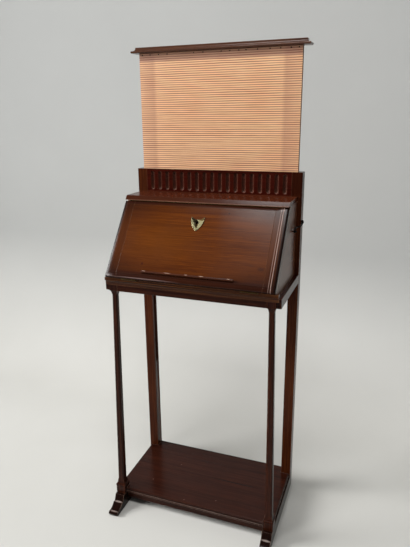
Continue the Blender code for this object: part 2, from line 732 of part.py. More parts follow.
def escutcheon_outline():
    """A shield with a hollow top between two horns and sides that run to a point."""
    half = ESCUTCHEON_WIDTH / 2
    point = (0, 0)
    horn = (half, ESCUTCHEON_HEIGHT)
    dip = (0, ESCUTCHEON_HEIGHT - ESCUTCHEON_DIP)
    belly = (half + ESCUTCHEON_BELLY_SPREAD, ESCUTCHEON_BELLY_RISE)
    shoulder = (half - ESCUTCHEON_DIP_INSET, ESCUTCHEON_HEIGHT - ESCUTCHEON_DIP_SAG)
    right = curve_through(point, belly, horn)
    right += curve_through(horn, shoulder, dip)
    left = [(-x, y) for x, y in reversed(right[1:])]
    foot = KEYHOLE_RISE - ESCUTCHEON_FOOT_DROP
    return [(x + LOCK_OFFSET, y + foot) for x, y in right + [dip] + left]


def keyhole_outline():
    """A round hole with a slot below it."""
    half = KEYHOLE_SLOT_WIDTH / 2
    meet = math.degrees(math.asin(half / KEYHOLE_RADIUS))
    points = arc((0, 0), (KEYHOLE_RADIUS, KEYHOLE_RADIUS), -90 + meet, 270 - meet, 2 * CURVE_STEPS)
    points += [(-half, -KEYHOLE_SLOT_LENGTH), (half, -KEYHOLE_SLOT_LENGTH)]
    return [(x + LOCK_OFFSET, y + KEYHOLE_RISE) for x, y in points]


def build_lock(axis, panel, rail):
    """A lock let into the fall's inner face, its sliding bolt, and the shield over its keyhole."""
    face = FALL_THICKNESS + JOINT_GAP
    shield = prism(escutcheon_outline(), face, face + ESCUTCHEON_THICKNESS, "Z")
    shield = add("keyhole_escutcheon", shield, "pale_brass", axis)
    keyhole = cutter("keyhole", prism(keyhole_outline(), LOCK_CASE_DEPTH, face + PAST, "Z"), axis)
    combine(shield, keyhole)
    combine(panel, keyhole)

    left, right = LOCK_OFFSET - LOCK_CASE_WIDTH / 2, LOCK_OFFSET + LOCK_CASE_WIDTH / 2
    bottom = FALL_LENGTH - LOCK_CASE_HEIGHT
    case = add(
        "lock_case", block((left, bottom, 0), (right, FALL_LENGTH, LOCK_CASE_DEPTH)), "dark_brass", axis
    )
    low = (left - JOINT_GAP, bottom - JOINT_GAP, -PAST)
    high = (right + JOINT_GAP, FALL_LENGTH + PAST, LOCK_CASE_DEPTH + JOINT_GAP)
    combine(panel, cutter("lock_recess", block(low, high), axis))

    place = (LOCK_OFFSET, FALL_LENGTH, BOLT_SETBACK + BOLT_THICKNESS / 2)
    guide = axis_empty("lock_bolt_guide", axis, place)
    half_width, half_thickness = BOLT_WIDTH / 2, BOLT_THICKNESS / 2
    low = (-half_width, -BOLT_LENGTH, -half_thickness)
    high = (half_width, -JOINT_GAP, half_thickness)
    add("lock_bolt", block(low, high), "dark_brass", guide)

    half_width += RUNNING_GAP
    half_thickness += RUNNING_GAP
    reach = BOLT_THROW + BOLT_END_ROOM
    low = (-half_width, -BOLT_LENGTH - RUNNING_GAP, -half_thickness)
    high = (half_width, reach, half_thickness)
    mortise = cutter("bolt_mortise", block(low, high), guide)
    combine(case, mortise)
    combine(rail, mortise)


def build_hinges(desk, axis, panel, sill):
    """Two flush hinges: one leaf let into the sill, one into the fall, turning on a pin."""
    half = HINGE_LENGTH / 2
    middle = HINGE_MIDDLE_KNUCKLE / 2
    clear = HINGE_BARREL_RADIUS + RUNNING_GAP
    for side, sign in sides():
        x = sign * (BOX_HALF - HINGE_INSET)
        line = (x, FALL_AXIS_Y, FALL_AXIS_Z)

        def along(low, high, radius, where):
            return rod((x + low, where[1], where[2]), (x + high, where[1], where[2]), radius)

        gap = middle + JOINT_GAP
        tabs = [(-half, 0), (-gap, 0), (-gap, clear), (gap, clear), (gap, 0), (half, 0)]
        tabs += [(half, HINGE_SILL_LEAF_REACH), (-half, HINGE_SILL_LEAF_REACH)]
        outline = [(x + a, FALL_AXIS_Y + b) for a, b in tabs]
        leaf = prism(outline, SILL_TOP - HINGE_LEAF_THICKNESS, SILL_TOP, "Z")
        sill_leaf = add(f"{side}_hinge_sill_leaf", leaf, "dark_brass", desk)
        ends = [along(-half, -gap, HINGE_BARREL_RADIUS, line)]
        ends.append(along(gap, half, HINGE_BARREL_RADIUS, line))
        combine(sill_leaf, cutter(f"{side}_sill_knuckles", joined(ends), desk), "UNION")
        bore = along(-half - PAST, half + PAST, HINGE_PIN_RADIUS + JOINT_GAP, line)
        combine(sill_leaf, cutter(f"{side}_sill_pin_bore", bore, desk))

        tabs = [(-half, clear), (-middle, clear), (-middle, 0), (middle, 0), (middle, clear), (half, clear)]
        tabs += [(half, HINGE_FALL_LEAF_REACH), (-half, HINGE_FALL_LEAF_REACH)]
        outline = [(x + a, b) for a, b in tabs]
        leaf = prism(outline, 0, HINGE_LEAF_THICKNESS, "Z")
        fall_leaf = add(f"{side}_hinge_fall_leaf", leaf, "dark_brass", axis)
        knuckle = along(-middle, middle, HINGE_BARREL_RADIUS, (x, 0, 0))
        combine(fall_leaf, cutter(f"{side}_fall_knuckle", knuckle, axis), "UNION")
        bore = along(-half - PAST, half + PAST, HINGE_PIN_RADIUS + JOINT_GAP, (x, 0, 0))
        combine(fall_leaf, cutter(f"{side}_fall_pin_bore", bore, axis))

        add(f"{side}_hinge_pin", along(-half, half, HINGE_PIN_RADIUS, line), "dark_brass", desk)

        low = (x - half - JOINT_GAP, FALL_AXIS_Y - PAST, SILL_TOP - HINGE_LEAF_THICKNESS - JOINT_GAP)
        high = (x + half + JOINT_GAP, FALL_AXIS_Y + HINGE_SILL_LEAF_REACH + JOINT_GAP, SILL_TOP + PAST)
        combine(sill, cutter(f"{side}_sill_recess", block(low, high), desk))
        relief = along(-half - JOINT_GAP, half + JOINT_GAP, clear, line)
        combine(sill, cutter(f"{side}_sill_relief", relief, desk))
        low = (x - half - JOINT_GAP, -PAST, -PAST)
        high = (x + half + JOINT_GAP, HINGE_FALL_LEAF_REACH + JOINT_GAP, HINGE_LEAF_THICKNESS + JOINT_GAP)
        combine(panel, cutter(f"{side}_fall_recess", block(low, high), axis))
        relief = along(-half - JOINT_GAP, half + JOINT_GAP, clear, (x, 0, 0))
        combine(panel, cutter(f"{side}_fall_relief", relief, axis))


# Rising screen

def cap_profile():
    """Edge of the cap from its underside up: a half-round nose, a cove and a fillet."""
    nose = CAP_NOSE_RADIUS
    cove_start = nose + CAP_FILLET
    cove_height = CAP_HEIGHT - 2 * nose - CAP_TOP_FILLET
    base = SCREEN_HEIGHT + JOINT_GAP
    profile = arc((nose, base + nose), (-nose, nose), -90, 90)
    profile += arc((cove_start, base + 2 * nose + cove_height), (CAP_COVE, -cove_height), 90, 0)
    profile.append((cove_start + CAP_COVE, base + CAP_HEIGHT))
    return profile


def build_screen(guide):
    """A frame that runs in the posts' grooves, with silk on both faces and a moulded cap."""
    inner = SCREEN_HALF - STILE_WIDTH
    for side, sign in sides():
        left, right = span(sign, inner, SCREEN_HALF)
        shape = block((left, -FRAME_FACE, 0), (right, FRAME_FACE, SCREEN_HEIGHT))
        add(f"{side}_screen_stile", shape, "plain_interior_wood", guide)
    between = inner - JOINT_GAP
    low = (-between, -FRAME_FACE, SCREEN_HEIGHT - SCREEN_TOP_RAIL_HEIGHT)
    add("screen_top_rail", block(low, (between, FRAME_FACE, SCREEN_HEIGHT)), "plain_interior_wood", guide)
    high = (between, FRAME_FACE, SCREEN_BOTTOM_RAIL_HEIGHT)
    add("screen_bottom_rail", block((-between, -FRAME_FACE, 0), high), "plain_interior_wood", guide)

    low = (-SCREEN_HALF, -SCREEN_FACE, 0)
    high = (SCREEN_HALF, -SCREEN_FACE + SILK_THICKNESS, SCREEN_HEIGHT)
    add("front_silk", block(low, high), "peach_silk", guide)
    low = (-SCREEN_HALF, SCREEN_FACE - SILK_THICKNESS, 0)
    high = (SCREEN_HALF, SCREEN_FACE, SCREEN_HEIGHT)
    add("back_silk", block(low, high), "peach_silk", guide)

    cap_half = HALF_WIDTH + CAP_OVERHANG
    cap = moulded_board(cap_half, -CAP_DEPTH / 2, CAP_DEPTH / 2, cap_profile())
    add("screen_cap", cap, "dark_mahogany_frame", guide)


# Side hook

def build_hook(desk):
    """A bent-wire hook that turns on a stud in the right post and drops into an eye on the box."""
    pivot = axis_empty("hook_pivot", desk, (HOOK_LINE, HOOK_PIVOT_SETBACK, HOOK_PIVOT_HEIGHT))
    inward = EYE_LINE - HOOK_LINE
    loop = arc((0, 0), (HOOK_LOOP_RADIUS, HOOK_LOOP_RADIUS), HOOK_LOOP_START, -90, 2 * CURVE_STEPS)
    path = [(0, y, z) for y, z in loop]
    for i in range(CURVE_STEPS + 1):
        turn = (1 - math.cos(math.pi * i / CURVE_STEPS)) / 2
        forward = HOOK_JOG_START + (HOOK_JOG_END - HOOK_JOG_START) * i / CURVE_STEPS
        sag = HOOK_SAG * forward / HOOK_JOG_END
        path.append((inward * turn, -forward, -HOOK_LOOP_RADIUS - sag))
    bend = arc((-HOOK_REACH + HOOK_BEND_RADIUS, -HOOK_DROP - HOOK_BEND_RADIUS),
               (HOOK_BEND_RADIUS, HOOK_BEND_RADIUS), 90, 180)
    path += [(inward, y, z) for y, z in bend]
    path.append((inward, -HOOK_REACH, -HOOK_DROP - HOOK_TIP_DROP))
    wire("side_hook", path, HOOK_WIRE_RADIUS, pivot)

    seat = HALF_WIDTH + JOINT_GAP
    rosette_top = seat + HOOK_ROSETTE_THICKNESS
    head = HOOK_LINE + HOOK_WIRE_RADIUS + RUNNING_GAP
    profile = [
        (seat, HOOK_ROSETTE_RADIUS),
        (rosette_top, HOOK_ROSETTE_RADIUS - ARRIS),
        (rosette_top, HOOK_STUD_RADIUS),
        (head, HOOK_STUD_RADIUS),
        (head, HOOK_STUD_HEAD_RADIUS),
        (head + HOOK_STUD_HEAD_THICKNESS, HOOK_STUD_HEAD_RADIUS - ARRIS),
    ]
    middle = (HOOK_PIVOT_SETBACK, HOOK_PIVOT_HEIGHT)
    sections = []
    for x, radius in profile:
        ring = arc(middle, (radius, radius), 0, 360, STUD_SIDES)[:-1]
        sections.append([(x, y, z) for y, z in ring])
    add("hook_stud", loft(sections), "black_iron", desk)

    eye_y = HOOK_PIVOT_SETBACK - HOOK_REACH
    eye_z = HOOK_PIVOT_HEIGHT - HOOK_DROP - EYE_DROP
    ring = arc((EYE_LINE, eye_y), (EYE_RING_RADIUS, EYE_RING_RADIUS), -90, EYE_RING_END, 3 * CURVE_STEPS)
    path = [(BOX_HALF + JOINT_GAP, eye_y - EYE_RING_RADIUS, eye_z)] + [(x, y, eye_z) for x, y in ring]
    wire("hook_eye", path, EYE_WIRE_RADIUS, desk)


def build():
    for old in list(bpy.data.objects):
        bpy.data.objects.remove(old, do_unlink=True)
    desk = axis_empty("desk", None, (0, POST_FRONT_Y, 0))
    fall_axis = axis_empty("fall_hinge_axis", desk, (0, FALL_AXIS_Y, FALL_AXIS_Z), math.pi / 2 - FALL_LEAN)
    screen_guide = axis_empty("screen_guide", desk, (0, SCREEN_MIDDLE, SCREEN_BOTTOM))
    build_runners(desk)
    build_shelf(desk)
    build_columns(desk)
    build_posts(desk)
    build_rails(desk)
    sill = build_sill(desk)
    lock_rail = build_box(desk)
    build_pigeonholes(desk)
    build_frieze(desk)
    panel = build_fall(fall_axis)
    build_lock(fall_axis, panel, lock_rail)
    build_hinges(desk, fall_axis, panel, sill)
    build_screen(screen_guide)
    build_hook(desk)


build()
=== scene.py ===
"""Looks of the writing desk: worn arrises, finishes, the screen's silk, screws and tacks.

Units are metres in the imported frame: the front faces -Y, +X is to the right and +Z is up.
"""
import json
import math

import bpy
from mathutils import Matrix, Vector


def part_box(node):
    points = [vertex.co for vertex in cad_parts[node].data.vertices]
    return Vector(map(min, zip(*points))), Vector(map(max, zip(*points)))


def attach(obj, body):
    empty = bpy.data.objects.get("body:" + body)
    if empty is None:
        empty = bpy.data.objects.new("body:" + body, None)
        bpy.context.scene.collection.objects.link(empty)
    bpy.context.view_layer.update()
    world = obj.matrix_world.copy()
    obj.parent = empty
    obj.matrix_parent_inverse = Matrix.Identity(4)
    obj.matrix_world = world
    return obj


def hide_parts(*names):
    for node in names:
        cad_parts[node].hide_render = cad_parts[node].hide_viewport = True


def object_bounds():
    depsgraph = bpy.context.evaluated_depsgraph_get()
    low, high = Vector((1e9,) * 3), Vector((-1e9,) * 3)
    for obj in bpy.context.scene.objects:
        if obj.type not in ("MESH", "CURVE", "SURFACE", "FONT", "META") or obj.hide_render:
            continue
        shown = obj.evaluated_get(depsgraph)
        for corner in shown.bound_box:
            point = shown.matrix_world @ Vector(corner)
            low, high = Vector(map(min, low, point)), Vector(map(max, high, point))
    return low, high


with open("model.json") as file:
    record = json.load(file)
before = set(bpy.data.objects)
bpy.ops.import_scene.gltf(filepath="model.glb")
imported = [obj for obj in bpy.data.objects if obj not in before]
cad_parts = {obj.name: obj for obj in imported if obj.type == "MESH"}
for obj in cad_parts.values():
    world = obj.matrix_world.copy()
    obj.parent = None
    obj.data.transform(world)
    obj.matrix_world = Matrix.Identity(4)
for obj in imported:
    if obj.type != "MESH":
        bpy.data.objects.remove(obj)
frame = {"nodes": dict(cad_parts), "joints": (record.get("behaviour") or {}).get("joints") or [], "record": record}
cad_low, cad_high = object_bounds()

BODIES = {node: body for body, nodes in frame["record"]["behaviour"]["bodies"].items() for node in nodes}

# Camera of the photograph
PHOTO_HEIGHT_PX = 547
FOCAL_LENGTH_PX = 520.6
SENSOR_MM = 36.0
CAMERA_PLACE = (0.4695, -1.2348, 1.1094)
CAMERA_YAW = math.radians(20.36)
CAMERA_TILT = math.radians(16.72)
CAMERA_ROLL = math.radians(-0.60)

# Studio
FLOOR_HALF_WIDTH = 5.0
FLOOR_FRONT = -4.0
WALL_BACK = 0.95
WALL_HEIGHT = 3.2
WALL_SWEEP = 0.55
WALL_SWEEP_STEPS = 20
CORNER_REACH = 0.01
PAINT_MOTTLE_MM = 400

# Lamps: direction from the desk, distance, width, depth, spread and power
LAMPS = {
    "window_lamp": ((-0.86, -0.34, 0.38), 5.0, 2.6, 2.6, math.radians(70), 63),
    "ceiling_lamp": ((0.02, -0.34, 0.94), 3.0, 1.6, 0.4, math.radians(180), 46),
}
WORLD_STRENGTH = 0.11

# Worn arrises
MERGE_REACH = 0.00003
WELD_REACH = 0.000005
FLAT_ANGLE = math.radians(0.4)
ARRIS_ANGLE = math.radians(38)
SMOOTH_ANGLE = math.radians(40)
ARRIS_STEPS = 3
FINE_ARRIS_STEPS = 2
SOFT_ARRIS = 0.0006
EASED_ARRIS = 0.0005
CRISP_ARRIS = 0.0004
PLATE_ARRIS = 0.0003
PIN_ARRIS = 0.0002

# Wood: length and width of the streaks in each layer of grain, in mm, and their detail
GRAIN_LAYERS = {"bands": (420, 13, 4), "streaks": (150, 2.4, 3), "pores": (34, 1.9, 2)}
GRAIN_WAVER = 0.35
PORE_RELIEF = 0.0004
POLISH_PATCH_MM = 130
HOLLOW_REACH = 0.012
ARRIS_LIGHT_REACH = 0.0022
POLISH_IOR = 1.5

# Metal
METAL_HOLLOW_REACH = 0.004
METAL_PITTING = 0.0003

# Screen grooves of the rear posts, which show below the box: their end, how far a cut stays inside the walls
# and reaches into the open, and the ends of a post that hold no corner of its groove's foot
GROOVE_END = 0.362
GROOVE_EASE = 0.0001
GROOVE_OPENING = 0.002
POST_END = 0.1

# Flutes of the frieze
FLUTE_COUNT = 18
FLUTE_END_MARGIN = 0.0119
FLUTE_WIDTH = 0.0115
FLUTE_DEPTH = 0.0045
FLUTE_MARGIN_TOP = 0.006
FLUTE_MARGIN_BOTTOM = 0.0042
FLUTE_ARRIS = 0.0004
GOUGE_SIDES = 32
GOUGE_RINGS = 16

# Silk, with its threads and slubs as length and width in mm
RIB_PITCH = 0.0055
RIB_RELIEF = 0.0005
RIB_ROWS = 6
SILK_COLUMNS = 72
SILK_WALL = 0.0003
SILK_SMOOTH_ANGLE = math.radians(50)
THREAD_MM = (40, 1.2)
THREAD_RELIEF = 0.0003
SLUB_MM = (120, 7)
FADE_MM = 90

# How far the ribs stray from level, the share of the height over which that fades out at the ends, and its
# two waves, in radians per metre across and over the whole height
RIB_WANDER = 0.00025
WANDER_FADE = 0.025
WANDER_WAVES = ((31, 60), (17, -23))

# Painted shade from the frame on the silk: from outside to inside a stile's inner edge, and down from the top
STILE_SHADE_OUT = 0.004
STILE_SHADE_IN = 0.006
TOP_SHADE_START = 0.024
TOP_SHADE_FULL = 0.019

# Tacks
TACK_RADIUS = 0.0018
TACK_RISE = 0.0005
TACK_SINK = 0.0003
TACK_DROP = 0.0045
TACK_DIMPLE = 0.0004
TACK_DIMPLE_REACH = 0.006
TACK_SIDES = 14
TACK_RINGS = 8
TACK_PLACES_MM = (-213, -190, -165, -140, -64, -38, 12, 35, 59, 78, 108, 140, 167, 193, 213)

# Screws
SCREW_RADIUS = 0.0024
SCREW_DEPTH = 0.0012
SCREW_PROUD = 0.0004
SCREW_SLOT = 0.0006
SCREW_ARRIS = 0.00015
SCREW_SIDES = 24
SCREW_TURN = math.radians(67)
SCREW_SPACING = 0.0155
SCREW_SILL_SETBACK = 0.0068
SCREW_FALL_RISE = 0.0105
LOCK_SCREW_INSET = 0.006

# The closed fall: a point on its hinge line, and the directions up its slope and out of its face
SLOPE = Vector(next(joint["axis"] for joint in frame["joints"] if joint["name"] == "lock_bolt_slide"))
FALL_AXIS = Vector(next(joint["pos_m"] for joint in frame["joints"] if joint["name"] == "fall_hinge"))
OUTWARD = Vector((0, -SLOPE.z, SLOPE.y))
LEAN = math.atan2(SLOPE.y, SLOPE.z)


def slope_range(node):
    """Lowest and highest corner of a node: across, up the closed fall's slope and out of its inner face."""
    corners = []
    for corner in frame["nodes"][node].data.vertices:
        away = corner.co - FALL_AXIS
        corners.append(Vector((away.x, away.dot(SLOPE), away.dot(OUTWARD))))
    return Vector(map(min, *corners)), Vector(map(max, *corners))


FALL_TOP = slope_range("fall_panel")[1].y
FALL_FACE = slope_range("fall_panel")[1].z
FALL_MIDDLE = FALL_TOP / 2


def on_fall(x, along, out=FALL_FACE):
    """A place on the closed fall, from the distance across, up the slope and out of the inner face."""
    return FALL_AXIS + Vector((x, 0, 0)) + SLOPE * along + OUTWARD * out


# Marks: half sizes that outreach the piece, a half depth that fades out at the fall's inner face, one for
# bruises, and how far the grain breaks up a mark's edge
ALL_ACROSS = 0.60
ALL_ALONG = 0.30
MARK_DEPTH = 0.0145
BRUISE_DEPTH = 0.004
RAGGED = 0.5

# Marks on the fall: place across and up the slope, half width, depth and height, tone, strength, and the shares of
# the half sizes at which the mark ends and is full. First a darkening towards the edges, painted shade under the
# box top and below the ledge, and a painted highlight along the lower arris, all shared by the clamps; then a
# golden patch, a knot, stains and a bruise.
FALL_EDGE_SHADE_AND_HIGHLIGHT = (
    (0.0, FALL_MIDDLE, 0.33, 0.1, 0.125, "240e07", 0.80, 0.64, 1.0),
    (0.0, 0.003, ALL_ACROSS, MARK_DEPTH, 0.018, "2a110a", 0.70, 1.0, 0.75),
    (0.0, FALL_TOP, ALL_ACROSS, MARK_DEPTH, 0.012, "2a110a", 0.75, 1.0, 0.60),
    (-0.12, 0.0022, 0.11, MARK_DEPTH, 0.0016, "8c7470", 0.60, 1.0, 0.5),
)
BOARD_MARKS = (
    (-0.095, FALL_MIDDLE, 0.13, MARK_DEPTH, 0.075, "7a4208", 0.25, 1.0, 0.2),
    (0.0771, 0.1965, 0.0032, BRUISE_DEPTH, 0.0026, "200b05", 0.9, 1.0, 0.4),
    (0.0610, 0.1945, 0.0130, BRUISE_DEPTH, 0.0016, "3a1808", 0.7, 1.0, 0.4),
    (0.1830, 0.0545, 0.0110, BRUISE_DEPTH, 0.0060, "381a0c", 0.75, 1.0, 0.4),
    (0.1580, 0.0615, 0.0100, BRUISE_DEPTH, 0.0034, "44220f", 0.6, 1.0, 0.4),
    (-0.1270, 0.0425, 0.0040, BRUISE_DEPTH, 0.0050, "34140a", 0.7, 1.0, 0.4),
)

# Painted shade on the clamps' outer edges, and painted highlights as pale lines beside the right moulding: inset,
# half width and strength
CLAMP_EDGE_SHADE = 0.0085
CLAMP_HIGHLIGHT_LINES = ((0.0122, 0.0014, 0.75), (0.0178, 0.0010, 0.45))

# Strips along the slope of a box side, a pale one as painted reflection and a dark one as painted shade in the
# quirk: distance behind the fall, half width, tone, strength and full share
SIDE_REFLECTION_AND_SHADE_STRIPS = ((0.0045, 0.0055, "86705f", 0.6, 0.7), (0.0105, 0.0032, "100a08", 0.9, 0.6))
SIDE_STRIP_DEPTH = 0.01

# Painted shade under the sill's fascia, and a darker tone on the sloping front edge of the box top
SILL_SHADE_DROP = 0.0092
SILL_SHADE_HALF = 0.0024
TOP_EDGE_RISE = 0.0075
TOP_EDGE_HALF = 0.0085
TOP_EDGE_DEPTH = 0.006

# Chips along the ledge: place across and half length
LEDGE_CHIPS = ((-0.1145, 0.0065), (-0.0500, 0.0120), (0.0, 0.0055), (0.0405, 0.0075), (0.1100, 0.0050))
CHIP_HALF = 0.0020

# Painted highlights on the tread and toe of a runner: place behind its front, height, half size, tone, strength
# and full share
FOOT_HIGHLIGHTS = ((0.0344, 0.0235, 0.0040, "a89890", 0.8, 0.4), (0.0065, 0.0120, 0.0034, "9a8880", 0.7, 0.3))
FOOT_HIGHLIGHT_ACROSS = 0.016

# Dark red on the tops of the posts, strongest on the right post, where it is painted shade
POST_TOP_TONE_AND_SHADE = {"left": 0.3, "right": 0.75}
POST_TOP_DROP = 0.02
POST_TOP_HALF = (0.04, 0.06, 0.06)

# The shelf's shrunk joint and its pale specks
SHELF_JOINT = (0.088, 0.0285)
SHELF_JOINT_HALF = (0.095, 0.0020, 0.02)
SHELF_SPECKS = ((-0.150, -0.037), (-0.028, -0.088), (0.060, -0.062), (-0.095, 0.055))
SPECK_HALF = 0.0014

# Dark patches on the keyhole's shield: place beside its middle and below its top, half width and height, and tone
SHIELD_DARK_PATCHES = (
    (-0.0125, 0.0045, 0.0060, 0.0050, "20140c"),
    (-0.0070, 0.0110, 0.0060, 0.0060, "1c120a"),
    (-0.0015, 0.0190, 0.0068, 0.0110, "140d08"),
    (0.0110, 0.0060, 0.0090, 0.0055, "5c4626"),
)
SHIELD_PATCH_DEPTH = 0.01

# Tones of each wood: dark streak, ground, light streak, the paler arris tone (wear and painted highlight), and the
# tone of the hollows (dirt and painted shade; pale in the frieze, as painted highlight on its flutes); its
# roughness and gloss; how strongly its arrises take the arris tone, and how strongly its hollows take theirs
WOODS = {
    "fall_mahogany": ("3e1905", "582a08", "70390c", "8a5a38", "140805", 0.20, 0.18, 0.25, 0.9),
    "clamp_mahogany": ("3a1a08", "50260b", "623210", "8a5a38", "140805", 0.20, 0.15, 0.25, 0.9),
    "ledge_mahogany": ("2c130a", "46200f", "5c3018", "8a5a3c", "0c0504", 0.25, 0.25, 0.6, 0.6),
    "sill_mahogany": ("1e0b05", "4a2410", "74441c", "8a5f42", "0a0403", 0.22, 0.14, 0.6, 1.0),
    "top_mahogany": ("34130a", "502414", "60321c", "8c6450", "0c0504", 0.20, 0.12, 0.6, 0.6),
    "side_mahogany": ("4a2a1a", "6a4028", "7c5036", "9a7a66", "140c0a", 0.30, 0.50, 0.6, 0.9),
    "frame_mahogany": ("160703", "32130a", "4c2412", "7a5440", "0a0403", 0.20, 0.12, 0.6, 0.9),
    "post_mahogany": ("2e1208", "4c2310", "603218", "7a5440", "060202", 0.22, 0.07, 0.6, 0.95),
    "foot_mahogany": ("0e0503", "1a0a06", "26120a", "9a8070", "060302", 0.18, 0.13, 0.8, 0.9),
    # The frieze's pale hollow tone is a painted highlight on the walls of its flutes
    "frieze_mahogany": ("220603", "3a0d05", "4c1509", "8a5038", "c09078", 0.20, 0.14, 0.4, 0.75),
    "shelf_mahogany": ("200c07", "34160d", "402014", "b09c90", "080403", 0.22, 0.13, 1.0, 0.9),
    "cap_mahogany": ("34180f", "50301f", "623e2a", "8a6a58", "0c0504", 0.24, 0.40, 0.6, 0.7),
    "plain_pine": ("5a3f24", "7a5732", "8e6a42", "9a7850", "1c120a", 0.62, 0.50, 0.4, 0.7),
}

# Tones of each metal, rubbed and tarnished; its roughness, the size of its patches in mm and their cover
METALS = {
    "rubbed_pale_brass": ("b0a880", "4c4626", 0.32, 8, 0.10),
    "aged_sheet_brass": ("4e3c22", "1c140c", 0.45, 6, 0.12),
    "rubbed_screw_brass": ("8a7044", "2e2212", 0.36, 3, 0.04),
    "blacked_iron": ("14110f", "070606", 0.5, 4, 0.2),
    "rusted_tack_iron": ("241a14", "100b08", 0.6, 2, 0.2),
}


# Materials

def linear(hex_code):
    """An sRGB hex colour as linear RGBA."""
    channels = [int(hex_code[i:i + 2], 16) / 255 for i in (0, 2, 4)]
    return (*[c / 12.92 if c <= 0.04045 else ((c + 0.055) / 1.055) ** 2.4 for c in channels], 1.0)


def put(tree, kind, feeds=None, **settings):
    """Add a node, set its properties, and feed its sockets with values or other nodes' outputs."""
    made = tree.nodes.new(kind)
    for name, value in settings.items():
        setattr(made, name, value)
    for socket, value in (feeds or {}).items():
        if isinstance(value, bpy.types.NodeSocket):
            tree.links.new(value, made.inputs[socket])
        else:
            made.inputs[socket].default_value = value
    return made


def blank(name):
    """A new material, its node tree and its shader."""
    made = bpy.data.materials.new(name)
    made.use_nodes = True
    return made, made.node_tree, made.node_tree.nodes["Principled BSDF"]


def stretch(axis, along_mm, across_mm):
    """Pattern scale for streaks that run along one axis, from their length and width."""
    return tuple(1000 / (along_mm if letter == axis else across_mm) for letter in "XYZ")


def stain(tree, place, colour, ragged, marks):
    """Paint marks over a colour. Each has its place, half sizes, tone and strength, and the shares of its
    half sizes at which it ends and at which it is full."""
    for spot, half_sizes, tone, strength, end, full in marks:
        near = put(tree, "ShaderNodeMapping", {
            "Vector": place, "Location": spot, "Rotation": (-LEAN, 0, 0), "Scale": half_sizes},
            vector_type="TEXTURE")
        away = put(tree, "ShaderNodeVectorMath", {0: near.outputs[0]}, operation="LENGTH").outputs["Value"]
        edge = put(tree, "ShaderNodeMath", {0: ragged, 1: RAGGED, 2: away}, operation="MULTIPLY_ADD")
        cover = put(tree, "ShaderNodeMapRange", {
            "Value": edge.outputs[0], "From Min": end + RAGGED / 2, "From Max": full + RAGGED / 2,
            "To Max": strength})
        colour = put(tree, "ShaderNodeMix", {
            0: cover.outputs[0], 6: colour, 7: linear(tone)}, data_type="RGBA").outputs[2]
    return colour


